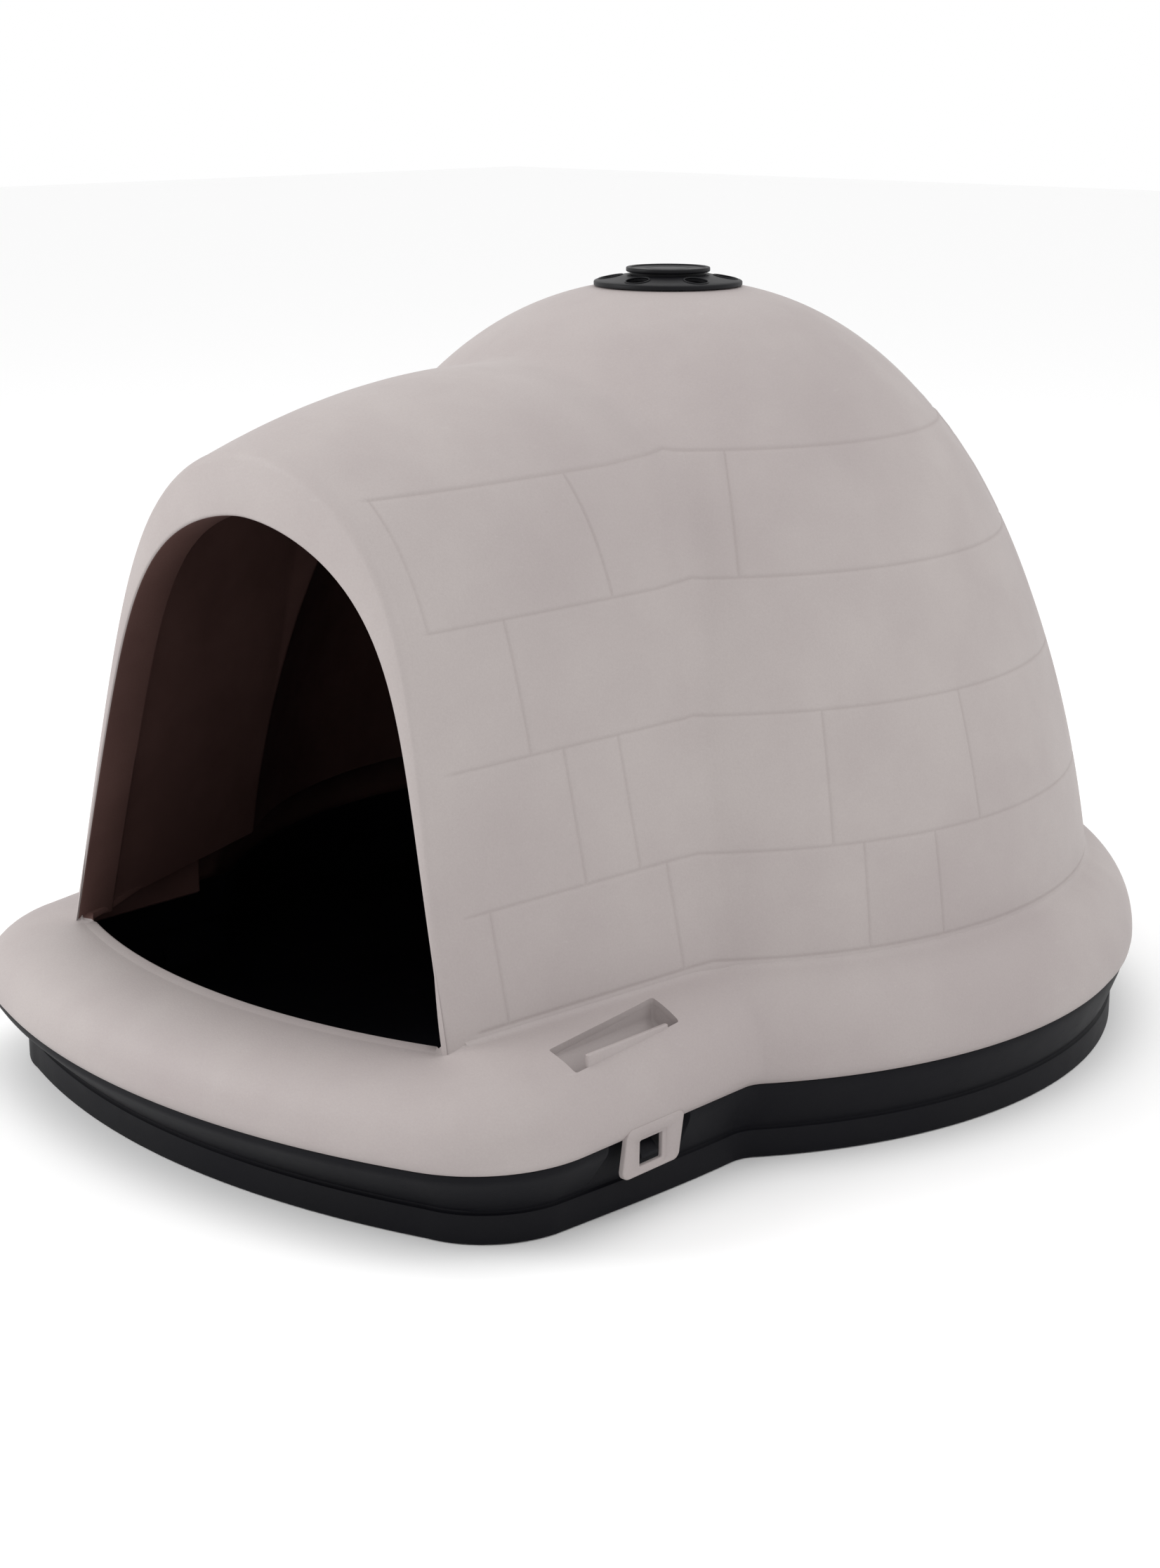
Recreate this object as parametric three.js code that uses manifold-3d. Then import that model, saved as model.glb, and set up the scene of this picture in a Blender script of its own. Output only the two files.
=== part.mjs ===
// Igloo dog kennel: a moulded dome with an arched entrance hood, standing in a dark plastic base tub.
// Millimetres, +Z up, doorway towards -Y. Each piece is modelled around the dome's upright axis, and
// the whole kennel is then slid along Y so that the origin is the middle of its footprint.
import * as THREE from 'three';
import { mergeVertices } from 'three/addons/utils/BufferGeometryUtils.js';
import Module from 'manifold-3d';

// ---- driving dimensions ----------------------------------------------------------------------
const GAP = 0.3;                 // air left between pieces that touch
const SHELL_WALL = 5;            // dome, hood and skirt wall
const BASE_WALL = 7;             // base tub wall at the foot ring

const BODY_RADIUS = 426.8;       // skirt edge round the dome
const FLANK_X = 332;             // skirt edge beside the hood
const DOME_TOP = 652.6;          // height of the dome's crown
const DOME_RADIUS = BODY_RADIUS - 26.2;  // radius where the dome's curve is upright, below the floor
const DOME_UPRIGHT_Z = -45.4;    // height of that upright point
const DOME_RISE_POWER = 2.02;    // the two powers of the dome's curve
const DOME_ROUND_POWER = 2.31;

const EDGE_Z = 66.6;             // lower edge of the skirt, where shell meets base
const BULGE_Z = 78;              // height of the skirt's widest line
const BULGE = 5.2;               // how far the skirt stands out past its lower edge
const FOOT_Z = 150;              // foot of the dome's wall on the skirt
const SILL_Z = 128;              // top of the door sill

const FRONT_RADIUS = 718;        // skirt edge across the front
const FRONT_CENTRE_Y = 533 - BODY_RADIUS;  // its centre, behind the dome's axis
const CORNER_RADIUS = 110;       // front corners of the skirt
const WAIST_RADIUS = 26;         // hollow where the flank meets the round body

const HOOD_BASE_Z = 60;          // height that the hood's half widths are taken at
const HOOD_FRONT_Y = -BODY_RADIUS - 68.2;  // the two stations that the hood's taper runs between
const HOOD_REAR_Y = -BODY_RADIUS + 174.8;
const HOOD_FRONT_HALF = FLANK_X - 82;  // half widths there
const HOOD_REAR_HALF = FLANK_X - 23;
const HOOD_LEAN = 0.235;         // how much each wall leans in for each mm of height
const HOOD_CREST_Z = 597;        // highest point of the hood's ridge
const HOOD_CREST_Y = -BODY_RADIUS + 211.8;
const HOOD_DROOP = 0.00063;      // how fast the ridge falls towards the door
const ARCH_RISE_POWER = 9;       // the two powers of the arch's curve
const ARCH_ROUND_POWER = 1.8;
const HOOD_FALL = 16;            // the foot of its walls falls this far towards the door
const HOOD_BACK_Y = -60;         // the hood's solids end inside the dome

const SILL_RADIUS = 600;         // the doorway's face bows forward on this radius
const SILL_CENTRE_Y = 481.8 - BODY_RADIUS;
const DOOR_LEAN = 0.145;         // the face leans back this much for each mm of height
const DOOR_HALF = HOOD_FRONT_HALF - 7;  // door opening, half width at the hood's base height
const DOOR_TAPER = 0.235;
const DOOR_TOP_Z = 503;
const LIP_DEPTH = 38;            // smooth rolled band round the doorway
const LIP_ROLL = 9;              // rounding of its front edge
const LIP_FOOT_RADIUS = 20;      // corner of the hood's foot line at the doorway
const SILL_FLANGE = 16;          // the sill and door corners turn in this far

const FOOT_RECESS_BODY = 11.4;   // the base's foot ring stands in from the skirt edge
const FOOT_RECESS_FRONT = 32;
const FOOT_STEP_Z = 24;          // top of the foot ring
const BASE_TOP_Z = 100;          // rim of the base, inside the skirt
const RIM_INSET = 18;            // outer face of that rim from the skirt edge
const RIM_WALL = 4;
const FLOOR_Z = 24;              // underside of the floor
const FLOOR_WALL = 4;
const FLOOR_SPLIT_Y = -BODY_RADIUS + 194.8;  // the floor is in two plates, cabin and entrance

const LATCH_Y = -BODY_RADIUS + 40.8;  // middle of the latch and of the grip above it
const TAB_WIDTH = 64;
const TAB_BOTTOM_Z = EDGE_Z - 33.6;
const TAB_WALL = 4.5;
const TAB_STANDOFF = 0.8;        // outer face of the tab stands out past the skirt edge
const WINDOW_WIDTH = 25;
const WINDOW_HEIGHT = 21;
const WINDOW_Z = EDGE_Z - 16.6;  // middle of the tab's window
const LATCH_RECESS = 9;          // the base wall is set back behind the tab
const RECESS_MARGIN = 12;        // and for this far on each side of it
const CATCH_WIDTH = 19;
const CATCH_HEIGHT = 12;

const GRIP_WIDTH = 122;          // hand grip let into the skirt's shoulder
const GRIP_PLATE_WIDTH = 89;
const GRIP_INNER_X = FLANK_X - 62;
const GRIP_OUTER_X = FLANK_X - 20;
const GRIP_FLOOR_Z = 102;
const GRIP_WALL = 3.5;
const GRIP_PLATE_RISE = 4;       // the plate stands this far above the shoulder

const VENT_HOLE_RADIUS = 62.3;   // hole in the dome's crown, under the vent ring
const VENT_RING_RADIUS = 65.4;
const VENT_RING_WALL = 3;
const VENT_RING_TOP_Z = DOME_TOP + 4.9;   // inner edge of the ring
const VENT_RING_EDGE_Z = DOME_TOP - 0.1;  // outer edge of the ring
const VENT_HOLES = 6;
const VENT_PORT_RADIUS = 10.5;
const VENT_PORT_CIRCLE = 50.5;
const VENT_PORT_TURN = 10;       // degrees that the first port is turned from straight ahead
const NECK_RADIUS = 33;
const NECK_WALL = 3;
const NECK_BOTTOM_Z = DOME_TOP - 16.6;
const CAP_RADIUS = 37;
const CAP_BOTTOM_Z = DOME_TOP + 7.4;
const TOTAL_HEIGHT = DOME_TOP + 11.4;
const CAP_RIM = 3;               // raised rim round the cap

const HOOD_STEPS = 7;            // facets along the hood
const HOOD_BEHIND_LIP = 70;      // its first plain station is this far behind the front one
const RING_STEPS = 60;           // facets round the dome
const DOME_STEPS = 13;           // facets from its foot to its crown
const VENT_STEPS = 32;           // facets round the vent's pieces
const SECTION_STEPS = 5;         // facets over the skirt's shoulder
const FAR = 2000;                // larger than anything here

// ---- finishes --------------------------------------------------------------------------------
const shellPlastic = () => new THREE.MeshStandardMaterial({ color: 0xb9afaa, roughness: 0.62, metalness: 0 });
const basePlastic = () => new THREE.MeshStandardMaterial({ color: 0x1b1b27, roughness: 0.5, metalness: 0 });

// ---- solids and booleans ---------------------------------------------------------------------
const wasm = await Module();
wasm.setup();

function toSolid(geometry) {
  const bare = geometry.clone();
  bare.deleteAttribute('normal');
  bare.deleteAttribute('uv');
  const merged = mergeVertices(bare, 1e-4);
  const index = merged.index.array;
  const triangles = [];
  for (let i = 0; i < index.length; i += 3) {
    const [a, b, c] = [index[i], index[i + 1], index[i + 2]];
    if (a !== b && b !== c && c !== a) triangles.push(a, b, c);
  }
  const mesh = new wasm.Mesh({
    numProp: 3,
    vertProperties: new Float32Array(merged.attributes.position.array),
    triVerts: new Uint32Array(triangles),
  });
  return new wasm.Manifold(mesh);
}

function toGeometry(solid) {
  const mesh = solid.getMesh();
  const geometry = new THREE.BufferGeometry();
  const positions = new Float32Array(mesh.numVert * 3);
  for (let v = 0; v < mesh.numVert; v += 1) {
    for (let k = 0; k < 3; k += 1) positions[v * 3 + k] = mesh.vertProperties[v * mesh.numProp + k];
  }
  geometry.setAttribute('position', new THREE.BufferAttribute(positions, 3));
  geometry.setIndex(Array.from(mesh.triVerts));
  return geometry;
}

function signedVolume(positions, index) {
  const [a, b, c] = [new THREE.Vector3(), new THREE.Vector3(), new THREE.Vector3()];
  let sum = 0;
  for (let i = 0; i < index.length; i += 3) {
    a.fromArray(positions, index[i] * 3);
    b.fromArray(positions, index[i + 1] * 3);
    c.fromArray(positions, index[i + 2] * 3);
    sum += a.dot(b.cross(c));
  }
  return sum;
}

// A closed body through rings of points. `flat` is one ring laid out in 2D, used to fill both ends.
function loft(rings, flat) {
  const count = rings[0].length;
  const positions = rings.flat().flatMap((p) => [p.x, p.y, p.z]);
  const index = [];
  for (let r = 0; r + 1 < rings.length; r += 1) {
    for (let i = 0; i < count; i += 1) {
      const [a, b] = [r * count + i, r * count + ((i + 1) % count)];
      index.push(a, b, b + count, a, b + count, a + count);
    }
  }
  const last = (rings.length - 1) * count;
  for (const [a, b, c] of THREE.ShapeUtils.triangulateShape(flat, [])) {
    index.push(a, c, b, last + a, last + b, last + c);
  }
  if (!endsAgree(index, count)) {
    for (let i = index.length - 3 * 2 * (count - 2); i < index.length; i += 3) {
      [index[i + 1], index[i + 2]] = [index[i + 2], index[i + 1]];
    }
  }
  if (signedVolume(positions, index) < 0) {
    for (let i = 0; i < index.length; i += 3) [index[i + 1], index[i + 2]] = [index[i + 2], index[i + 1]];
  }
  const geometry = new THREE.BufferGeometry();
  geometry.setAttribute('position', new THREE.Float32BufferAttribute(positions, 3));
  geometry.setIndex(index);
  return toSolid(geometry);
}

// True when the first end's triangles run against the side's edge 0-1, as a closed body needs.
function endsAgree(index, count) {
  for (let i = index.length - 3 * 2 * (count - 2); i < index.length; i += 3) {
    for (let k = 0; k < 3; k += 1) {
      const [from, to] = [index[i + k], index[i + ((k + 1) % 3)]];
      if (from === 0 && to === 1) return false;
      if (from === 1 && to === 0) return true;
    }
  }
  return true;
}

function boxBetween(low, high) {
  const geometry = new THREE.BoxGeometry(high[0] - low[0], high[1] - low[1], high[2] - low[2]);
  geometry.translate((low[0] + high[0]) / 2, (low[1] + high[1]) / 2, (low[2] + high[2]) / 2);
  return toSolid(geometry);
}

// A body turned about the upright axis from [radius, height] points.
function turned(profile, steps) {
  const geometry = new THREE.LatheGeometry(profile.map(([r, z]) => new THREE.Vector2(r, z)), steps);
  geometry.rotateX(Math.PI / 2);
  return toSolid(geometry);
}

const slab = (low, high) => boxBetween([-FAR, -FAR, low], [FAR, FAR, high]);

function extrudeUp(points, low, high) {
  const geometry = new THREE.ExtrudeGeometry(new THREE.Shape(points), { depth: high - low, bevelEnabled: false });
  geometry.translate(0, 0, low);
  return toSolid(geometry);
}

// The sector between two angles in degrees, seen from above, thinned by half a gap on each side.
function sector(from, to) {
  const trim = THREE.MathUtils.radToDeg(GAP / 2 / (BODY_RADIUS * 0.75));
  const points = [new THREE.Vector2(0, 0)];
  for (let i = 0; i <= 4; i += 1) {
    const angle = THREE.MathUtils.degToRad(THREE.MathUtils.lerp(from + trim, to - trim, i / 4));
    points.push(new THREE.Vector2(FAR * Math.cos(angle), FAR * Math.sin(angle)));
  }
  return extrudeUp(points, -10, FAR);
}

// ---- dome ------------------------------------------------------------------------------------
function domeRadius(z, grow = 0) {
  const rise = (z - DOME_UPRIGHT_Z) / (DOME_TOP + grow - DOME_UPRIGHT_Z);
  return (DOME_RADIUS + grow) * (1 - rise ** DOME_RISE_POWER) ** (1 / DOME_ROUND_POWER);
}

// Heights that split the dome's curve into even looking facets, from the foot to the crown.
function domeHeights(from, top, steps) {
  return Array.from({ length: steps }, (_, i) => from + (top - from) * Math.sin((Math.PI / 2) * (i / steps)));
}

function domeSolid(grow, from) {
  const top = DOME_TOP + grow;
  const sides = domeHeights(from, top, DOME_STEPS).map((z) => [domeRadius(z, grow), z]);
  return turned([[0, from], ...sides, [0, top]], RING_STEPS);
}

function domeHeightAt(radius) {
  const rise = (1 - (radius / DOME_RADIUS) ** DOME_ROUND_POWER) ** (1 / DOME_RISE_POWER);
  return DOME_UPRIGHT_Z + rise * (DOME_TOP - DOME_UPRIGHT_Z);
}

// ---- entrance hood ---------------------------------------------------------------------------
const ridgeZ = (y) => HOOD_CREST_Z - HOOD_DROOP * Math.max(0, HOOD_CREST_Y - y) ** 2;
const hoodHalf = (y) => THREE.MathUtils.mapLinear(
  Math.min(y, HOOD_REAR_Y), HOOD_FRONT_Y, HOOD_REAR_Y, HOOD_FRONT_HALF, HOOD_REAR_HALF);

// Height of the wall's foot: level round the dome, falling along the hood towards the doorway.
function footHeight(y) {
  const along = THREE.MathUtils.clamp((HOOD_REAR_Y - y) / (HOOD_REAR_Y - HOOD_FRONT_Y), 0, 1);
  return FOOT_Z - HOOD_FALL * along;
}

function archHalf(z, half, lean, top) {
  const rise = Math.min(1, (z - HOOD_BASE_Z) / (top - HOOD_BASE_Z));
  return (half - lean * (z - HOOD_BASE_Z)) * (1 - rise ** ARCH_RISE_POWER) ** (1 / ARCH_ROUND_POWER);
}

// One arch as [x, z] points from the left foot over the top to the right foot.
function archPoints(half, lean, top, bottom) {
  const right = [];
  for (let i = 0; i <= 13; i += 1) {
    const climb = 1 - (1 - i / 14) ** 2.4;
    const z = bottom + (top - bottom) * climb;
    right.push([archHalf(z, half, lean, top), z]);
  }
  const left = right.map(([x, z]) => [-x, z]);
  return [...left, [0, top], ...right.reverse()];
}

const doorFaceY = (x, z) => SILL_CENTRE_Y - Math.sqrt(SILL_RADIUS ** 2 - x ** 2) + DOOR_LEAN * (z - SILL_Z);

// A hood body from `depth` behind the door's face to inside the dome, standing on bottomAt(y).
function hoodSolid(shape, depth, bottomAt) {
  const front = shape(HOOD_FRONT_Y, 0, bottomAt(JAMB_Y + depth));
  const rings = [front.map(([x, z]) => new THREE.Vector3(x, doorFaceY(x, z) + depth, z))];
  for (let i = 0; i < HOOD_STEPS; i += 1) {
    const fore = THREE.MathUtils.lerp(HOOD_FRONT_Y + HOOD_BEHIND_LIP, HOOD_REAR_Y, i / (HOOD_STEPS - 2));
    const y = i < HOOD_STEPS - 1 ? fore : HOOD_BACK_Y;
    rings.push(shape(y, 0, bottomAt(y)).map(([x, z]) => new THREE.Vector3(x, y, z)));
  }
  return loft(rings, shape(HOOD_REAR_Y, 0, bottomAt(HOOD_REAR_Y)).map(([x, z]) => new THREE.Vector2(x, z)));
}

// Where the doorway's face meets the skirt, at the side.
const JAMB_Y = doorFaceY(archHalf(FOOT_Z, HOOD_FRONT_HALF, HOOD_LEAN, ridgeZ(HOOD_FRONT_Y)), FOOT_Z);

const outerArch = (y, inset, bottom) => archPoints(hoodHalf(y) - inset, HOOD_LEAN, ridgeZ(y) - inset, bottom);
const innerArch = (y, inset, bottom) => outerArch(y, inset + SHELL_WALL, bottom);
const doorArch = (y, inset, bottom) => archPoints(DOOR_HALF, DOOR_TAPER, DOOR_TOP_Z, bottom);

// ---- outlines, seen from above ---------------------------------------------------------------
const onCircle = (x, y, radius, angle) => new THREE.Vector2(x + radius * Math.cos(angle), y + radius * Math.sin(angle));

function arcBetween(centre, radius, from, to, steps, includeEnd) {
  const count = includeEnd ? steps + 1 : steps;
  return Array.from({ length: count }, (_, i) => onCircle(...centre, radius, from + (to - from) * (i / steps)));
}

const STRETCHES = { front: 6, corner: 6, flank: 10, waist: 4, side: 6, back: 14 };

// Half of the skirt's lower edge, from the front middle round the right side to the rear middle.
function edgeOutline() {
  const cornerX = FLANK_X - CORNER_RADIUS;
  const cornerDrop = Math.sqrt((FRONT_RADIUS - CORNER_RADIUS) ** 2 - cornerX ** 2);
  const cornerY = FRONT_CENTRE_Y - cornerDrop;
  const turn = Math.atan2(-cornerDrop, cornerX);
  const waistX = FLANK_X + WAIST_RADIUS;
  const waistY = -Math.sqrt((BODY_RADIUS + WAIST_RADIUS) ** 2 - waistX ** 2);
  const bodyFrom = Math.atan2(waistY, waistX);
  return [
    ...arcBetween([0, FRONT_CENTRE_Y], FRONT_RADIUS, -Math.PI / 2, turn, STRETCHES.front),
    ...arcBetween([cornerX, cornerY], CORNER_RADIUS, turn, 0, STRETCHES.corner),
    ...lineBetween(new THREE.Vector2(FLANK_X, cornerY), new THREE.Vector2(FLANK_X, waistY), STRETCHES.flank),
    ...arcBetween([waistX, waistY], WAIST_RADIUS, Math.PI, Math.PI + bodyFrom, STRETCHES.waist),
    ...roundBody(BODY_RADIUS, bodyFrom),
  ];
}

// The outline round the dome, with a point at its widest place and at the rear.
const roundBody = (radius, from) => [
  ...arcBetween([0, 0], radius, from, 0, STRETCHES.side),
  ...arcBetween([0, 0], radius, 0, Math.PI / 2, STRETCHES.back, true),
];

function lineBetween(from, to, steps) {
  return Array.from({ length: steps }, (_, i) => from.clone().lerp(to, i / steps));
}

const hoodFootX = (y) => archHalf(footHeight(y), hoodHalf(y), HOOD_LEAN, ridgeZ(y));

// Half of the walls' foot line, stretch by stretch opposite the skirt's edge.
function footOutline() {
  const footRadius = domeRadius(FOOT_Z);
  const sillX = hoodFootX(HOOD_FRONT_Y) - LIP_FOOT_RADIUS;
  const sillDrop = Math.sqrt((SILL_RADIUS - LIP_FOOT_RADIUS) ** 2 - sillX ** 2);
  const lipY = SILL_CENTRE_Y - sillDrop;
  const turn = Math.atan2(-sillDrop, sillX);
  let valleyY = HOOD_REAR_Y;
  for (let i = 0; i < 8; i += 1) valleyY = -Math.sqrt(footRadius ** 2 - hoodFootX(valleyY) ** 2);
  const valley = new THREE.Vector2(hoodFootX(valleyY), valleyY);
  const before = new THREE.Vector2(hoodFootX(valleyY - WAIST_RADIUS / 5), valleyY - WAIST_RADIUS / 5);
  const bodyFrom = Math.atan2(valley.y, valley.x) + WAIST_RADIUS / 5 / footRadius;
  const after = onCircle(0, 0, footRadius, bodyFrom);
  const bend = new THREE.QuadraticBezierCurve(before, valley, after);
  const lipEnd = new THREE.Vector2(hoodFootX(lipY), lipY);
  return [
    ...arcBetween([0, SILL_CENTRE_Y], SILL_RADIUS, -Math.PI / 2, turn, STRETCHES.front),
    ...arcBetween([sillX, lipY], LIP_FOOT_RADIUS, turn, 0, STRETCHES.corner),
    ...lineBetween(lipEnd, before, STRETCHES.flank),
    ...bend.getPoints(STRETCHES.waist).slice(0, -1),
    ...roundBody(footRadius, bodyFrom),
  ];
}

const EDGE = edgeOutline();
const FOOT = footOutline();
const CORNER_START = STRETCHES.front;
const CORNER_END = CORNER_START + STRETCHES.corner;
const FLANK_END = CORNER_END + STRETCHES.flank;
const BODY_START = FLANK_END + STRETCHES.waist;
const FRONT_CUT = STRETCHES.front - 2;
const REAR_CUT = BODY_START + STRETCHES.side + 8;
const LAST = EDGE.length - 1;

// One upright section across the skirt or base: where it stands and the shape's local numbers.
function sectionAt(position) {
  const whole = Math.min(LAST - 1, Math.floor(position));
  const part = position - whole;
  const edge = EDGE[whole].clone().lerp(EDGE[whole + 1], part);
  const foot = FOOT[whole].clone().lerp(FOOT[whole + 1], part);
  const width = edge.distanceTo(foot);
  const inward = foot.clone().sub(edge).divideScalar(width);
  const corner = THREE.MathUtils.smoothstep(position, CORNER_START, CORNER_END);
  const backFromCorner = THREE.MathUtils.smoothstep(position, CORNER_END, BODY_START);
  return {
    edge,
    inward,
    width,
    footZ: THREE.MathUtils.lerp(SILL_Z, footHeight(foot.y), corner),
    fullness: THREE.MathUtils.lerp(0.95, 0.7, backFromCorner),
    flange: THREE.MathUtils.lerp(SILL_FLANGE, SHELL_WALL, THREE.MathUtils.smoothstep(position, CORNER_END, CORNER_END + 4)),
  };
}

const place = (section, u, z) => new THREE.Vector3(
  section.edge.x + section.inward.x * u, section.edge.y + section.inward.y * u, z);

// A round shoulder from an upright start to a sloping end: a conic with its corner at the start's u.
function shoulder(start, end, fullness, steps) {
  const corner = [start[0], start[1] + fullness * (end[1] - start[1])];
  const weight = 0.9;
  return Array.from({ length: steps + 1 }, (_, i) => {
    const t = i / steps;
    const [a, b, c] = [(1 - t) ** 2, 2 * weight * t * (1 - t), t ** 2];
    const sum = a + b + c;
    return [0, 1].map((k) => (a * start[k] + b * corner[k] + c * end[k]) / sum);
  });
}

function skirtSection({ width, footZ, fullness, flange }) {
  const outside = shoulder([-BULGE, BULGE_Z], [width, footZ], fullness, SECTION_STEPS);
  const underside = shoulder([SHELL_WALL - BULGE, BULGE_Z], [width - 2, footZ - SHELL_WALL], fullness - 0.05, SECTION_STEPS - 2);
  return [
    [0, EDGE_Z], [-0.8 * BULGE, (EDGE_Z + BULGE_Z) / 2], ...outside,
    [width + flange, footZ], [width + flange, footZ - SHELL_WALL - 1], ...underside.reverse(),
    [SHELL_WALL, EDGE_Z],
  ];
}

// The same section filled to the inside, for trimming the hand grip to the shoulder's surface.
function skirtFillSection(section) {
  const outside = shoulder([-BULGE, BULGE_Z], [section.width, section.footZ], section.fullness, SECTION_STEPS);
  return [[-BULGE, EDGE_Z], ...outside, [section.width + 40, section.footZ], [section.width + 40, EDGE_Z]];
}

function footRecess(y) {
  const forward = THREE.MathUtils.smoothstep(-y, 280, 610);
  return THREE.MathUtils.lerp(FOOT_RECESS_BODY, FOOT_RECESS_FRONT, forward);
}

// How far the base wall is set back for the latch at this place along the flank.
function latchRecess(edge) {
  const reach = TAB_WIDTH / 2 + RECESS_MARGIN;
  return Math.abs(edge.y - LATCH_Y) < reach && Math.abs(edge.x) > FLANK_X - 1 ? LATCH_RECESS : 0;
}

function baseSection(section) {
  const recess = footRecess(section.edge.y);
  const back = Math.min(latchRecess(section.edge), recess - 2);
  const ledge = EDGE_Z - GAP;
  const rimInside = RIM_INSET + RIM_WALL;
  return [
    [recess, 0], [recess, FOOT_STEP_Z], [recess + 2, FOOT_STEP_Z + 1], [recess + 2, FOOT_STEP_Z + 4],
    [1 + back, ledge - 6], [1 + back, ledge], [RIM_INSET, ledge], [RIM_INSET, BASE_TOP_Z],
    [rimInside, BASE_TOP_Z], [rimInside, ledge - RIM_WALL], [6 + back, ledge - RIM_WALL - 1],
    [recess + BASE_WALL, FOOT_STEP_Z + 4], [recess + BASE_WALL, 0],
  ];
}

// A length of skirt or base from one place on the outline to another, short of each by half a gap.
function swept(shape, from, to, extra = []) {
  const inset = (position, direction) => {
    const step = EDGE[Math.min(LAST, Math.floor(position) + 1)].distanceTo(EDGE[Math.min(LAST - 1, Math.floor(position))]);
    return position + direction * (GAP / 2 / step) * 1.15;
  };
  const start = from <= 0 ? from : inset(from, 1);
  const end = to >= LAST ? LAST : inset(to - 1e-6, -1);
  const inner = [];
  for (let i = Math.floor(start) + 1; i < end; i += 1) inner.push(i);
  const positions = [start, ...inner, ...extra.filter((p) => p > start && p < end), end].sort((a, b) => a - b);
  const sections = positions.map((position) => sectionAt(position));
  const rings = sections.map((section) => shape(section).map(([u, z]) => place(section, u, z)));
  return loft(rings, shape(sections[0]).map(([u, z]) => new THREE.Vector2(u, z)));
}

const mirrored = (solid) => solid.mirror([1, 0, 0]);

// A piece that crosses the middle is made as two halves joined on the middle plane.
function acrossMiddle(half) {
  return half.add(mirrored(half));
}

// Places along the outline where the base wall steps back for the latch.
function latchStations() {
  const flank = EDGE[FLANK_END].y - EDGE[CORNER_END].y;
  const reach = TAB_WIDTH / 2 + RECESS_MARGIN;
  return [-reach - 1, -reach + 1, reach - 1, reach + 1].map(
    (offset) => CORNER_END + STRETCHES.flank * ((LATCH_Y + offset - EDGE[CORNER_END].y) / flank));
}

// ---- pieces ----------------------------------------------------------------------------------
function skirtPieces() {
  const grip = boxBetween(
    [GRIP_INNER_X, LATCH_Y - GRIP_WIDTH / 2, GRIP_FLOOR_Z - GAP],
    [GRIP_OUTER_X, LATCH_Y + GRIP_WIDTH / 2, FAR]);
  const flank = swept(skirtSection, CORNER_END, FLANK_END + 2).subtract(grip);
  return {
    skirt_front: acrossMiddle(swept(skirtSection, 0, FRONT_CUT)),
    skirt_corner: swept(skirtSection, FRONT_CUT, CORNER_END),
    skirt_flank: flank,
    skirt_side: swept(skirtSection, FLANK_END + 2, REAR_CUT),
    skirt_rear: acrossMiddle(swept(skirtSection, REAR_CUT, LAST)),
  };
}

function basePieces() {
  return {
    base_wall_front: acrossMiddle(swept(baseSection, 0, FRONT_CUT)),
    base_wall_corner: swept(baseSection, FRONT_CUT, CORNER_END),
    base_wall_flank: swept(baseSection, CORNER_END, FLANK_END + 2, latchStations()),
    base_wall_side: swept(baseSection, FLANK_END + 2, REAR_CUT),
    base_wall_rear: acrossMiddle(swept(baseSection, REAR_CUT, LAST)),
  };
}

function floorPieces() {
  const rightHalf = EDGE.map((_, i) => {
    const section = sectionAt(i);
    const inset = footRecess(section.edge.y) + BASE_WALL + GAP;
    return new THREE.Vector2(section.edge.x + section.inward.x * inset, section.edge.y + section.inward.y * inset);
  });
  const leftHalf = rightHalf.slice(1, -1).reverse().map((p) => new THREE.Vector2(-p.x, p.y));
  const plate = extrudeUp([...rightHalf, ...leftHalf], FLOOR_Z - FLOOR_WALL, FLOOR_Z);
  const behind = boxBetween([-FAR, FLOOR_SPLIT_Y + GAP / 2, -10], [FAR, FAR, FAR]);
  const ahead = boxBetween([-FAR, -FAR, -10], [FAR, FLOOR_SPLIT_Y - GAP / 2, FAR]);
  return { floor_cabin: plate.intersect(behind), floor_entrance: plate.intersect(ahead) };
}

const COURSE_Z = [343.5, 470, 537];   // heights that the shell's walls are divided at

function domePieces() {
  const cabin = domeSolid(-SHELL_WALL, -20);
  const passage = hoodSolid(innerArch, LIP_DEPTH, () => HOOD_BASE_Z);
  const ventHole = turned([[0, 0], [VENT_HOLE_RADIUS, 0], [VENT_HOLE_RADIUS, FAR], [0, FAR]], VENT_STEPS);
  const shell = domeSolid(0, 20).subtract(cabin).subtract(passage).subtract(ventHole);
  const lower = shell.intersect(slab(FOOT_Z + GAP, COURSE_Z[0] - GAP / 2));
  const upper = shell.intersect(slab(COURSE_Z[0] + GAP / 2, COURSE_Z[2] - GAP / 2));
  return {
    crown: shell.intersect(slab(COURSE_Z[2] + GAP / 2, FAR)),
    right: { lower: lower.intersect(sector(-60, 26)), upper: upper.intersect(sector(-60, 26)) },
    rear: { lower: lower.intersect(sector(26, 90)), upper: upper.intersect(sector(26, 90)) },
  };
}

function hoodPieces() {
  const dome = domeSolid(GAP, 20);
  const shell = hoodSolid(outerArch, LIP_DEPTH + GAP, (y) => footHeight(y) + GAP)
    .subtract(hoodSolid(innerArch, LIP_DEPTH - 5, () => HOOD_BASE_Z))
    .subtract(dome);
  const rightSide = boxBetween([GAP / 2, -FAR, -10], [FAR, FAR, FAR]);
  return {
    lower: shell.intersect(slab(0, COURSE_Z[0] - GAP / 2)).intersect(rightSide),
    upper: shell.intersect(slab(COURSE_Z[0] + GAP / 2, COURSE_Z[1] - GAP / 2)).intersect(rightSide),
    roof: shell.intersect(slab(COURSE_Z[1] + GAP / 2, FAR)),
  };
}

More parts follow.
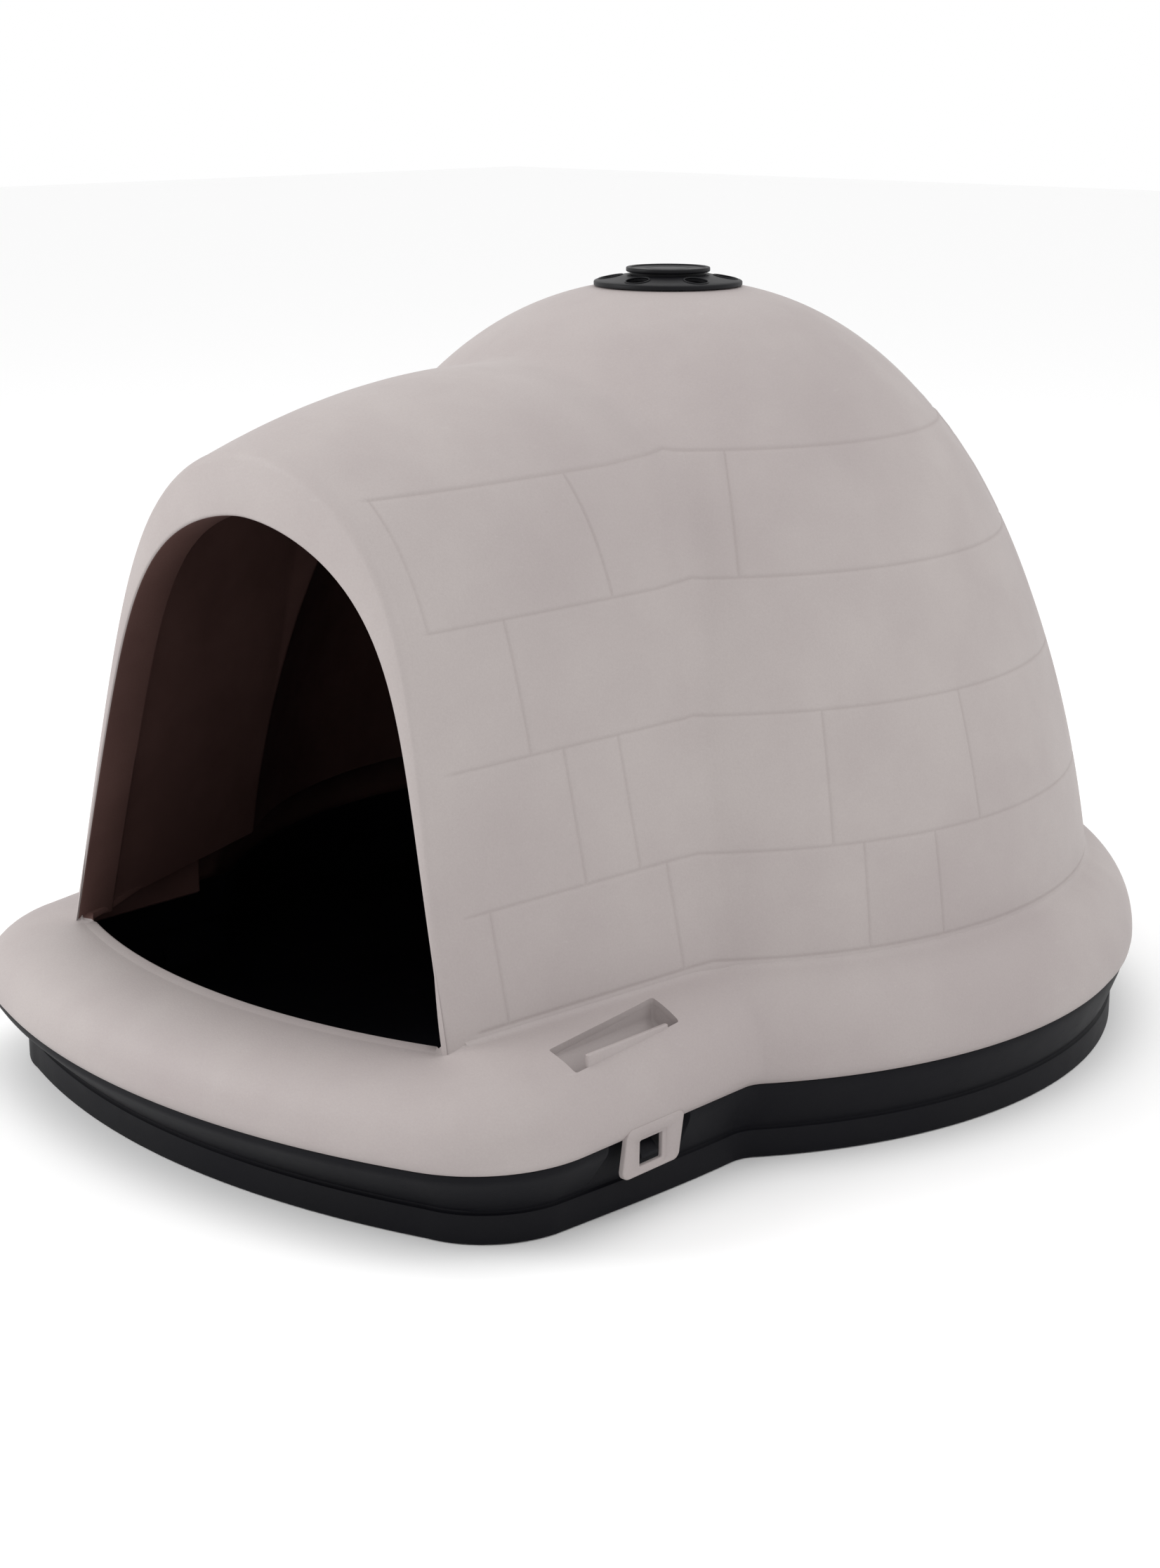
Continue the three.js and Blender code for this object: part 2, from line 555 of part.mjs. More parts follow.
// The rolled band round the doorway, thick at the top and thin at the foot.
function lipPieces() {
  const rings = [[0, LIP_ROLL], [LIP_ROLL / 3, LIP_ROLL / 3], [LIP_ROLL, 0], [LIP_DEPTH, 0]].map(([depth, inset]) => {
    const arch = outerArch(HOOD_FRONT_Y, inset, footHeight(JAMB_Y + depth) + GAP);
    return arch.map(([x, z]) => new THREE.Vector3(x, doorFaceY(x, z) + depth, z));
  });
  const flat = outerArch(HOOD_FRONT_Y, 0, FOOT_Z).map(([x, z]) => new THREE.Vector2(x, z));
  const opening = doorArch(0, 0, HOOD_BASE_Z);
  const cut = loft([-FAR, FAR].map((y) => opening.map(([x, z]) => new THREE.Vector3(x, y, z))),
    opening.map(([x, z]) => new THREE.Vector2(x, z)));
  const band = loft(rings, flat).subtract(cut);
  const rightSide = boxBetween([GAP / 2, -FAR, -10], [FAR, FAR, FAR]);
  const split = COURSE_Z[0] + 40;
  return {
    jamb: band.intersect(slab(0, split - GAP / 2)).intersect(rightSide),
    arch: band.intersect(slab(split + GAP / 2, FAR)),
  };
}

function roundedPlate(width, height, radius) {
  const [w, h] = [width / 2, height / 2];
  const shape = new THREE.Shape();
  shape.moveTo(-w, h);
  shape.lineTo(-w, -h + radius);
  shape.absarc(-w + radius, -h + radius, radius, Math.PI, Math.PI * 1.5, false);
  shape.absarc(w - radius, -h + radius, radius, Math.PI * 1.5, Math.PI * 2, false);
  shape.lineTo(w, h);
  return shape;
}

// The tab that hangs from the skirt over the base, with its window.
function latchTab() {
  const height = EDGE_Z - GAP - TAB_BOTTOM_Z;
  const plate = roundedPlate(TAB_WIDTH, height, 6);
  const [w, h] = [WINDOW_WIDTH / 2, WINDOW_HEIGHT / 2];
  const rise = WINDOW_Z - (TAB_BOTTOM_Z + height / 2);
  const corners = [[-w, rise - h], [w, rise - h], [w, rise + h], [-w, rise + h]];
  plate.holes.push(new THREE.Path(corners.map(([x, y]) => new THREE.Vector2(x, y))));
  const geometry = new THREE.ExtrudeGeometry(plate, { depth: TAB_WALL, bevelEnabled: false, curveSegments: 4 });
  geometry.rotateX(Math.PI / 2);
  geometry.rotateZ(Math.PI / 2);
  geometry.translate(FLANK_X + TAB_STANDOFF - TAB_WALL, LATCH_Y, TAB_BOTTOM_Z + height / 2);
  return toSolid(geometry);
}

// The catch on the base that the tab's window snaps over: a wedge, thickest at its foot.
function latchCatch() {
  const wall = FLANK_X - 1 - LATCH_RECESS + GAP;
  const nose = FLANK_X + TAB_STANDOFF - TAB_WALL / 2;
  const low = WINDOW_Z - CATCH_HEIGHT / 2;
  const profile = [[wall, low], [nose, low], [nose, low + 3], [wall, low + CATCH_HEIGHT]];
  const shape = new THREE.Shape(profile.map(([x, z]) => new THREE.Vector2(x, z)));
  const geometry = new THREE.ExtrudeGeometry(shape, { depth: CATCH_WIDTH, bevelEnabled: false });
  geometry.rotateX(Math.PI / 2);
  geometry.translate(0, LATCH_Y + CATCH_WIDTH / 2, 0);
  return toSolid(geometry);
}

// A trough let into the shoulder, with a plate standing in front of the fingers.
function handGrip() {
  const [y0, y1] = [LATCH_Y - GRIP_WIDTH / 2 + GAP, LATCH_Y + GRIP_WIDTH / 2 - GAP];
  const [x0, x1] = [GRIP_INNER_X + GAP, GRIP_OUTER_X - GAP];
  const block = boxBetween([x0, y0, GRIP_FLOOR_Z], [x1, y1, FAR / 4]);
  const hollow = boxBetween(
    [x0 + GRIP_WALL, y0 + GRIP_WALL, GRIP_FLOOR_Z + GRIP_WALL], [x1 - GRIP_WALL, y1 - GRIP_WALL, FAR]);
  const under = swept(skirtFillSection, CORNER_END, FLANK_END + 2);
  const trough = block.subtract(hollow).intersect(under);
  const [p0, p1] = [LATCH_Y - GRIP_PLATE_WIDTH / 2, LATCH_Y + GRIP_PLATE_WIDTH / 2];
  const frontTop = shoulderHeightAt(x1 - GRIP_WALL / 2) + GRIP_PLATE_RISE;
  const plate = boxBetween([x1 - GRIP_WALL, p0, GRIP_FLOOR_Z + 1], [x1, p1, frontTop]);
  return trough.add(plate);
}

// Height of the shoulder beside the latch at this distance from the middle plane.
function shoulderHeightAt(x) {
  const section = sectionAt(CORNER_END + STRETCHES.flank * 0.45);
  const curve = shoulder([-BULGE, BULGE_Z], [section.width, section.footZ], section.fullness, 60);
  const u = (FLANK_X - x) / Math.abs(section.inward.x);
  const next = curve.findIndex((point) => point[0] >= u);
  return curve[next][1];
}

function ventRing() {
  const inner = NECK_RADIUS + GAP;
  const seat = domeHeightAt(VENT_HOLE_RADIUS) + GAP + 0.1;
  const skirtInner = VENT_HOLE_RADIUS - 0.6;
  const profile = [
    [inner, VENT_RING_TOP_Z], [inner, VENT_RING_TOP_Z - VENT_RING_WALL],
    [NECK_RADIUS + 5, VENT_RING_TOP_Z - VENT_RING_WALL], [skirtInner, VENT_RING_EDGE_Z - VENT_RING_WALL + 0.6],
    [skirtInner, seat], [VENT_RING_RADIUS, seat],
    [VENT_RING_RADIUS, VENT_RING_EDGE_Z - 1], [VENT_RING_RADIUS - 1.5, VENT_RING_EDGE_Z + 0.3],
    [NECK_RADIUS + 5, VENT_RING_TOP_Z], [inner, VENT_RING_TOP_Z],
  ];
  let ring = turned(profile, VENT_STEPS);
  for (let i = 0; i < VENT_HOLES; i += 1) {
    const angle = THREE.MathUtils.degToRad(VENT_PORT_TURN - 90 + (i * 360) / VENT_HOLES);
    const port = new THREE.CylinderGeometry(VENT_PORT_RADIUS, VENT_PORT_RADIUS, 60, 16);
    port.rotateX(Math.PI / 2);
    port.translate(VENT_PORT_CIRCLE * Math.cos(angle), VENT_PORT_CIRCLE * Math.sin(angle), VENT_RING_TOP_Z);
    ring = ring.subtract(toSolid(port));
  }
  return ring;
}

function ventNeck() {
  const bore = NECK_RADIUS - NECK_WALL;
  const top = CAP_BOTTOM_Z - GAP;
  return turned([[bore, NECK_BOTTOM_Z], [NECK_RADIUS, NECK_BOTTOM_Z], [NECK_RADIUS, top], [bore, top], [bore, NECK_BOTTOM_Z]], VENT_STEPS);
}

function ventCap() {
  const plate = TOTAL_HEIGHT - 1.2;
  return turned([
    [0, CAP_BOTTOM_Z], [CAP_RADIUS - 0.8, CAP_BOTTOM_Z], [CAP_RADIUS, CAP_BOTTOM_Z + 0.8],
    [CAP_RADIUS, TOTAL_HEIGHT - 0.8], [CAP_RADIUS - 0.8, TOTAL_HEIGHT], [CAP_RADIUS - CAP_RIM, TOTAL_HEIGHT],
    [CAP_RADIUS - CAP_RIM - 0.6, plate], [0, plate],
  ], VENT_STEPS);
}

// ---- assembly --------------------------------------------------------------------------------
const kennel = new THREE.Group();
kennel.position.y = (FRONT_RADIUS - FRONT_CENTRE_Y - BODY_RADIUS) / 2;

function addPiece(name, solid, material) {
  const mesh = new THREE.Mesh(toGeometry(solid), material);
  mesh.name = name;
  kennel.add(mesh);
}

function addPair(name, solid, material) {
  addPiece(`${name}_right`, solid, material());
  addPiece(`${name}_left`, mirrored(solid), material());
}

for (const [name, solid] of Object.entries(floorPieces())) addPiece(name, solid, basePlastic());

const base = basePieces();
addPiece('base_wall_front', base.base_wall_front, basePlastic());
addPiece('base_wall_rear', base.base_wall_rear, basePlastic());
for (const name of ['base_wall_corner', 'base_wall_flank', 'base_wall_side']) addPair(name, base[name], basePlastic);

const skirt = skirtPieces();
addPiece('skirt_front', skirt.skirt_front, shellPlastic());
addPiece('skirt_rear', skirt.skirt_rear, shellPlastic());
for (const name of ['skirt_corner', 'skirt_flank', 'skirt_side']) addPair(name, skirt[name], shellPlastic);

const dome = domePieces();
addPair('dome_lower_side', dome.right.lower, shellPlastic);
addPair('dome_lower_rear', dome.rear.lower, shellPlastic);
addPair('dome_upper_side', dome.right.upper, shellPlastic);
addPair('dome_upper_rear', dome.rear.upper, shellPlastic);
addPiece('dome_crown', dome.crown, shellPlastic());

const hood = hoodPieces();
addPair('hood_lower_wall', hood.lower, shellPlastic);
addPair('hood_upper_wall', hood.upper, shellPlastic);
addPiece('hood_roof', hood.roof, shellPlastic());

const lip = lipPieces();
addPair('door_jamb', lip.jamb, shellPlastic);
addPiece('door_arch', lip.arch, shellPlastic());

addPair('latch_tab', latchTab(), shellPlastic);
addPair('latch_catch', latchCatch(), basePlastic);
addPair('hand_grip', handGrip(), shellPlastic);

addPiece('vent_ring', ventRing(), basePlastic());
addPiece('vent_neck', ventNeck(), basePlastic());
addPiece('vent_cap', ventCap(), basePlastic());

const group = new THREE.Group();
group.add(kennel);
export default group;
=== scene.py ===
"""Looks of an igloo dog kennel: moulded shell, base tub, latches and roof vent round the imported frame.

Shapes are worked out in millimetres round the dome's upright axis, and set down in the row frame in metres.
"""
import logging
import math
from dataclasses import dataclass
from enum import Enum
from typing import Callable, Iterable, Optional, Sequence

import bmesh
import bpy
import numpy as np
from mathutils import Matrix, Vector


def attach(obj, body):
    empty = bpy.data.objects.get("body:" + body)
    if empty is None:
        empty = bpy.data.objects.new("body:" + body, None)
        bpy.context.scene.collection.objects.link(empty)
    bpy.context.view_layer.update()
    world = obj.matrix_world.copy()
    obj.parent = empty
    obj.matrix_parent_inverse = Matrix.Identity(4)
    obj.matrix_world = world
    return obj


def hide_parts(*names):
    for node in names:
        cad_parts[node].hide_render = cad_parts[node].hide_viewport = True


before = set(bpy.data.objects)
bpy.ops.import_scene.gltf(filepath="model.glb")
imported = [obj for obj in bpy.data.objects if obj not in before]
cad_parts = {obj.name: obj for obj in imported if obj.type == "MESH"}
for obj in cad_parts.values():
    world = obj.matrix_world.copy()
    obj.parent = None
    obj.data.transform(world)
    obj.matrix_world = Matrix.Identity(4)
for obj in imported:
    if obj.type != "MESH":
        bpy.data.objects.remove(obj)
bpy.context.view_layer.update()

LOG = logging.getLogger("kennel")

MM = 0.001
DOME_AXIS_Y = 92.5       # the dome's axis stands this far behind the row frame's origin, in mm
BODY = "root"
OUTSIDE, INSIDE = 0, 1   # material numbers of the shell's two faces
SHARP_TURN = 48.0        # edges that turn by more degrees than this are shaded sharp
SHOULDER_WEIGHT = 0.9    # how full the skirt's rounded section is


class Slot(Enum):
    """Material slots of the record."""

    SHELL = "shell"
    BASE = "base_plastic"
    # the shell's inside, painted very dark brown as shade
    LINING = "shell_inside"


class Side(Enum):
    """Right and left of the kennel, as a sign along X."""

    RIGHT = 1
    LEFT = -1


# ---- shader building ---------------------------------------------------------------------------
class Wire:
    """One node output that takes part in arithmetic, adding its Math nodes as it goes."""

    def __init__(self, plan: "Plan", socket: bpy.types.NodeSocket) -> None:
        """Wraps a socket of a plan's tree."""
        self.plan = plan
        self.socket = socket

    def _math(self, operation: str, first: object, second: object) -> "Wire":
        """One Math node on two values."""
        return self.plan.node("ShaderNodeMath", {"operation": operation}, {0: first, 1: second})

    def __add__(self, other: object) -> "Wire":
        """Sum."""
        return self._math("ADD", self, other)

    __radd__ = __add__

    def __mul__(self, other: object) -> "Wire":
        """Product."""
        return self._math("MULTIPLY", self, other)

    __rmul__ = __mul__

    def __sub__(self, other: object) -> "Wire":
        """Difference."""
        return self._math("SUBTRACT", self, other)

    def __rsub__(self, other: object) -> "Wire":
        """Reflected difference."""
        return self._math("SUBTRACT", other, self)


class Plan:
    """A material's node tree while it is being laid out."""

    def __init__(self, name: str) -> None:
        """Starts an empty material of that name.

        Args:
            name: the material's name.
        """
        self.material = bpy.data.materials.new(name)
        self.material.use_nodes = True
        self.tree = self.material.node_tree
        self.tree.nodes.clear()

    def node(self, kind: str, settings: Optional[dict] = None, inputs: Optional[dict] = None,
             output: object = 0) -> Wire:
        """Adds one node.

        Args:
            kind: the node's type name.
            settings: properties set first; "stops" holds a colour ramp's (place, colour) pairs.
            inputs: socket name or number to a value or a Wire.
            output: name or number of the output that is returned.

        Returns:
            The chosen output.
        """
        node = self.tree.nodes.new(kind)
        for key, value in (settings or {}).items():
            if key == "stops":
                self._set_stops(node.color_ramp, value)
            else:
                setattr(node, key, value)
        for key, value in (inputs or {}).items():
            if isinstance(value, Wire):
                self.tree.links.new(value.socket, node.inputs[key])
            else:
                node.inputs[key].default_value = value
        return Wire(self, node.outputs[output])

    @staticmethod
    def _set_stops(ramp: bpy.types.ColorRamp, stops: Sequence[tuple]) -> None:
        """Gives a ramp its stops.

        Args:
            ramp: the colour ramp.
            stops: (place, colour) pairs, in order.
        """
        while len(ramp.elements) < len(stops):
            ramp.elements.new(0.5)
        for element, (place, colour) in zip(ramp.elements, stops):
            element.position = place
            element.color = colour

    def noise(self, scale: float, detail: float = 3.0, roughness: float = 0.55,
              stretch: tuple = (1, 1, 1)) -> Wire:
        """Noise on object coordinates, scaled per metre.

        Args:
            scale: cells per metre.
            detail: octaves.
            roughness: share that each octave keeps.
            stretch: scale along X, Y and Z.

        Returns:
            The noise value.
        """
        place = self.node("ShaderNodeTexCoord", output="Object")
        mapped = self.node("ShaderNodeMapping", None, {"Vector": place, "Scale": stretch})
        return self.node("ShaderNodeTexNoise", {"noise_dimensions": "3D"},
                         {"Vector": mapped, "Scale": scale, "Detail": detail, "Roughness": roughness})

    def ramp(self, value: Wire, low: float, high: float) -> Wire:
        """A value spread from 0 at low to 1 at high, clamped."""
        return self.node("ShaderNodeMapRange", {"clamp": True},
                         {"Value": value, "From Min": low, "From Max": high})

    def mix(self, share: object, first: object, second: object) -> Wire:
        """Colours mixed by a share."""
        return self.node("ShaderNodeMix", {"data_type": "RGBA"}, {0: share, 6: first, 7: second}, output=2)

    def attribute(self, name: str) -> Wire:
        """A number stored on the mesh's points."""
        return self.node("ShaderNodeAttribute", {"attribute_name": name}, output="Fac")

    def bump(self, height: Wire, strength: float, distance: float, under: Optional[Wire] = None) -> Wire:
        """A bump from a height, on top of another one.

        Args:
            height: height that it follows.
            strength: share of it that shows.
            distance: metres that a height of 1 stands for.
            under: normal that it lies on.

        Returns:
            The bumped normal.
        """
        inputs = {"Height": height, "Strength": strength, "Distance": distance}
        if under is not None:
            inputs["Normal"] = under
        return self.node("ShaderNodeBump", None, inputs)

    def finish(self, shader: Wire) -> bpy.types.Material:
        """Ends the tree in its output and returns the material.

        Args:
            shader: the surface's shader.

        Returns:
            The material.
        """
        end = self.tree.nodes.new("ShaderNodeOutputMaterial")
        self.tree.links.new(shader.socket, end.inputs["Surface"])
        return self.material


def tint(red: float, green: float, blue: float) -> tuple[float, float, float, float]:
    """A display colour, 0 to 255, as linear RGBA.

    Args:
        red: red, 0 to 255.
        green: green, 0 to 255.
        blue: blue, 0 to 255.

    Returns:
        Linear red, green, blue and alpha.
    """
    def linear(value: float) -> float:
        """One channel."""
        share = value / 255
        return share / 12.92 if share <= 0.04045 else ((share + 0.055) / 1.055) ** 2.4

    return (linear(red), linear(green), linear(blue), 1.0)


@dataclass(frozen=True)
class ShellPlastic:
    """Taupe moulded plastic: fine grain, cloudy tone, dust in the joints and rubbed high places."""

    name: str = "shell_plastic"
    light: tuple = (170, 162, 160)
    deep: tuple = (161, 152, 151)
    joint: tuple = (132, 122, 119)
    scuff: tuple = (180, 174, 171)
    roughness: float = 0.56

    def material(self) -> bpy.types.Material:
        """Lays out the material.

        Returns:
            The finished material.
        """
        plan = Plan(self.name)
        clouds = plan.noise(4.5, 4.0)
        patches = plan.ramp(plan.noise(17.0, 3.0), 0.42, 0.68)
        speckle = plan.ramp(plan.noise(620.0, 2.0), 0.3, 0.7)
        joint = plan.attribute("joint")
        scuffs = plan.ramp(plan.noise(60.0, 5.0, 0.7, (1, 1, 5)), 0.63, 0.76)
        colour = plan.mix(plan.ramp(clouds, 0.35, 0.65), tint(*self.light), tint(*self.deep))
        colour = plan.mix(patches * 0.18, colour, tint(*self.deep))
        colour = plan.mix(speckle * 0.10, colour, tint(*self.joint))
        colour = plan.mix(scuffs * 0.22, colour, tint(*self.scuff))
        colour = plan.mix(joint * 0.16, colour, tint(*self.joint))
        roughness = patches * 0.07 + speckle * 0.06 - scuffs * 0.05 + joint * 0.15 + self.roughness
        waves = plan.bump(plan.noise(11.0, 2.0), 0.25, 0.0035)
        pores = plan.bump(plan.noise(520.0, 3.0, 0.6), 0.32, 0.00045, waves)
        shader = plan.node("ShaderNodeBsdfPrincipled", None, {
            "Base Color": colour, "Roughness": roughness, "Normal": pores, "Specular IOR Level": 0.4})
        return plan.finish(shader)


@dataclass(frozen=True)
class PaintedShadeInside:
    """The shell's inside: the same taupe moulding, its deep shade painted in as a very dark brown."""

    name: str = "lining_plastic"
    # light and deep: two tones of the painted shade, mixed by noise
    light: tuple = (98, 72, 67)
    deep: tuple = (78, 54, 50)
    roughness: float = 0.6

    def material(self) -> bpy.types.Material:
        """Lays out the material.

        Returns:
            The finished material.
        """
        plan = Plan(self.name)
        clouds = plan.ramp(plan.noise(6.0, 4.0), 0.35, 0.65)
        speckle = plan.ramp(plan.noise(500.0, 2.0), 0.35, 0.7)
        colour = plan.mix(clouds, tint(*self.light), tint(*self.deep))
        colour = plan.mix(speckle * 0.2, colour, tint(*self.deep))
        pores = plan.bump(plan.noise(480.0, 3.0), 0.3, 0.0004)
        shader = plan.node("ShaderNodeBsdfPrincipled", None, {
            "Base Color": colour, "Roughness": clouds * 0.1 + self.roughness, "Normal": pores,
            "Specular IOR Level": 0.35})
        return plan.finish(shader)


@dataclass(frozen=True)
class TubPlastic:
    """Navy black satin plastic with faint rubbing marks and dust."""

    name: str = "tub_plastic"
    deep: tuple = (3, 3, 8)
    light: tuple = (6, 6, 13)
    dust: tuple = (52, 51, 56)
    roughness: float = 0.55
    grain: float = 460.0

    def material(self) -> bpy.types.Material:
        """Lays out the material.

        Returns:
            The finished material.
        """
        plan = Plan(self.name)
        clouds = plan.ramp(plan.noise(8.0, 4.0), 0.35, 0.68)
        rubs = plan.ramp(plan.noise(36.0, 6.0, 0.72, (1, 1, 6)), 0.6, 0.78)
        specks = plan.ramp(plan.noise(900.0, 1.0), 0.68, 0.78)
        colour = plan.mix(clouds * 0.7, tint(*self.deep), tint(*self.light))
        colour = plan.mix(rubs * 0.12, colour, tint(*self.dust))
        colour = plan.mix(specks * 0.10, colour, tint(*self.dust))
        roughness = clouds * 0.1 + rubs * 0.16 + self.roughness
        waves = plan.bump(plan.noise(14.0, 2.0), 0.2, 0.003)
        pores = plan.bump(plan.noise(self.grain, 3.0, 0.6), 0.22, 0.0004, waves)
        shader = plan.node("ShaderNodeBsdfPrincipled", None, {
            "Base Color": colour, "Roughness": roughness, "Normal": pores, "Specular IOR Level": 0.16})
        return plan.finish(shader)


@dataclass(frozen=True)
class StudioFloor:
    """Pale seamless paper under the kennel."""

    name: str = "studio_paper"
    tone: tuple = (250, 250, 250)

    def material(self) -> bpy.types.Material:
        """Lays out the material.

        Returns:
            The finished material.
        """
        plan = Plan(self.name)
        cloud = plan.ramp(plan.noise(2.0, 2.0), 0.3, 0.7)
        shader = plan.node("ShaderNodeBsdfPrincipled", None, {
            "Base Color": tint(*self.tone), "Roughness": cloud * 0.05 + 0.9, "Specular IOR Level": 0.1})
        return plan.finish(shader)


# ---- meshes ------------------------------------------------------------------------------------
def smoothstep(value: float, low: float, high: float) -> float:
    """Eased share of the way from low to high."""
    share = min(1.0, max(0.0, (value - low) / (high - low)))
    return share * share * (3 - 2 * share)


def blend(first: float, second: float, share: float) -> float:
    """Straight mix of two numbers."""
    return first + (second - first) * share


class Skin:
    """Points in millimetres and faces, gathered into one closed mesh."""

    def __init__(self) -> None:
        """Starts empty."""
        self.points: list[tuple[float, float, float]] = []
        self.faces: list[tuple[int, ...]] = []
        self.slots: list[int] = []
        self.joint: list[float] = []

    def grid(self, points: np.ndarray, joint: Optional[np.ndarray] = None) -> np.ndarray:
        """Adds a grid of points and returns their numbers in the same layout.

        Args:
            points: rows and columns of points in millimetres.
            joint: how much joint dirt or wear each point takes; 1 is a full joint.

        Returns:
            Point numbers by row and column.
        """
        rows, columns = points.shape[:2]
        start = len(self.points)
        self.points.extend(map(tuple, points.reshape(-1, 3).tolist()))
        values = np.zeros(rows * columns) if joint is None else joint.reshape(-1)
        self.joint.extend(values.tolist())
        return np.arange(start, start + rows * columns).reshape(rows, columns)

    def quads(self, numbers: np.ndarray, slot: int = OUTSIDE, loop_rows: bool = False,
              loop_columns: bool = False) -> None:
        """Faces over a grid of point numbers, closed round on itself where asked.

        Args:
            numbers: point numbers by row and column.
            slot: material number.
            loop_rows: joins the last row to the first.
            loop_columns: joins the last column to the first.
        """
        if loop_rows:
            numbers = np.vstack([numbers, numbers[:1]])
        if loop_columns:
            numbers = np.hstack([numbers, numbers[:, :1]])
        a, b = numbers[:-1, :-1], numbers[:-1, 1:]
        c, d = numbers[1:, 1:], numbers[1:, :-1]
        faces = np.stack([a, b, c, d], axis=-1).reshape(-1, 4)
        self.faces.extend(map(tuple, faces.tolist()))
        self.slots.extend([slot] * len(faces))

    def face(self, numbers: Iterable[int], slot: int = OUTSIDE) -> None:
        """One face with any number of corners."""
        self.faces.append(tuple(int(n) for n in numbers))
        self.slots.append(slot)

    def piece(self, name: str, finishes: Sequence[bpy.types.Material],
              sharp: float = SHARP_TURN) -> bpy.types.Object:
        """Makes the object, its doubles merged and its faces turned outwards.

        Args:
            name: the piece's name.
            finishes: materials by slot number.
            sharp: edges that turn by more degrees than this are shaded sharp.

        Returns:
            The new object, in metres, in the row frame.
        """
        points = (np.array(self.points) + (0, DOME_AXIS_Y, 0)) * MM
        mesh = bpy.data.meshes.new(name)
        mesh.from_pydata(points.tolist(), [], self.faces)
        mesh.polygons.foreach_set("material_index", self.slots)
        layer = mesh.attributes.new("joint", "FLOAT", "POINT")
        layer.data.foreach_set("value", np.array(self.joint, np.float32))
        tidy_mesh(mesh, sharp)
        for finish in finishes:
            mesh.materials.append(finish)
        thing = bpy.data.objects.new(name, mesh)
        bpy.context.scene.collection.objects.link(thing)
        return thing


def tidy_mesh(mesh: bpy.types.Mesh, sharp: float) -> None:
    """Merges doubles, turns faces outwards and marks smooth and sharp places.

    Args:
        mesh: the mesh to mend.
        sharp: turn in degrees past which an edge is sharp.
    """
    work = bmesh.new()
    work.from_mesh(mesh)
    bmesh.ops.remove_doubles(work, verts=work.verts, dist=2e-6)
    bmesh.ops.dissolve_degenerate(work, edges=work.edges, dist=1e-7)
    bmesh.ops.recalc_face_normals(work, faces=work.faces)
    for face in work.faces:
        face.smooth = True
    work.to_mesh(mesh)
    work.free()
    mesh.set_sharp_from_angle(angle=math.radians(sharp))


def set_down(piece: bpy.types.Object, nodes: Sequence[str]) -> bpy.types.Object:
    """Reports a piece, lets it ride on the body and stand for its CAD nodes.

    Args:
        piece: the finished object.
        nodes: CAD nodes that it stands for.

    Returns:
        The same object.
    """
    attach(piece, BODY)
    if nodes:
        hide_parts(*nodes)
    LOG.info("%s: %d faces, stands for %s", piece.name, len(piece.data.polygons),
             ", ".join(nodes) or "nothing")
    return piece


def pair(*names: str) -> list[str]:
    """Right and left node names."""
    return [f"{name}_{side.name.lower()}" for name in names for side in Side]


def baked(carrier: bpy.types.Object, name: str) -> bpy.types.Object:
    """A plain mesh object from a carrier's evaluated modifiers; the carrier is removed.

    Args:
        carrier: object with live modifiers.
        name: the result's name.

    Returns:
        The new object.
    """
    graph = bpy.context.evaluated_depsgraph_get()
    mesh = bpy.data.meshes.new_from_object(carrier.evaluated_get(graph), depsgraph=graph)
    bpy.data.objects.remove(carrier)
    mesh.name = name
    thing = bpy.data.objects.new(name, mesh)
    bpy.context.scene.collection.objects.link(thing)
    return thing


def cut(body: bpy.types.Object, tool: bpy.types.Object) -> bpy.types.Object:
    """The body with the tool's shape taken out of it; both objects are used up.

    Args:
        body: the solid to cut.
        tool: the shape taken out.

    Returns:
        The cut solid, under the same name.
    """
    name = body.name
    body.name = name + "_whole"
    step = body.modifiers.new("cut", "BOOLEAN")
    step.operation = "DIFFERENCE"
    step.solver = "EXACT"
    step.object = tool
    result = baked(body, name)
    bpy.data.objects.remove(tool)
    return result


def rounded_box(low: Sequence[float], high: Sequence[float], radius: float, steps: int,
                name: str, finish: bpy.types.Material) -> bpy.types.Object:
    """A box between two corners in millimetres, with all its edges rounded.

    Args:
        low: lowest corner.
        high: highest corner.
        radius: the edges' radius in millimetres.
        steps: facets over each edge.
        name: the object's name.
        finish: its material.

    Returns:
        The new object.
    """
    work = bmesh.new()
    bmesh.ops.create_cube(work, size=1.0)
    for vert in work.verts:
        vert.co = Vector([blend(low[k], high[k], vert.co[k] + 0.5) for k in range(3)])
        vert.co.y += DOME_AXIS_Y
        vert.co *= MM
    bmesh.ops.bevel(work, geom=work.edges, offset=radius * MM, segments=steps, profile=0.5, affect="EDGES")
    return finished(work, name, finish, SHARP_TURN)


def finished(work: bmesh.types.BMesh, name: str, finish: bpy.types.Material,
             sharp: float) -> bpy.types.Object:
    """An object from an edited mesh, which is used up.

    Args:
        work: the edited mesh.
        name: the object's name.
        finish: its material.
        sharp: turn in degrees past which an edge is sharp.

    Returns:
        The new object.
    """
    mesh = bpy.data.meshes.new(name)
    work.to_mesh(mesh)
    work.free()
    tidy_mesh(mesh, sharp)
    mesh.materials.append(finish)
    thing = bpy.data.objects.new(name, mesh)
    bpy.context.scene.collection.objects.link(thing)
    return thing


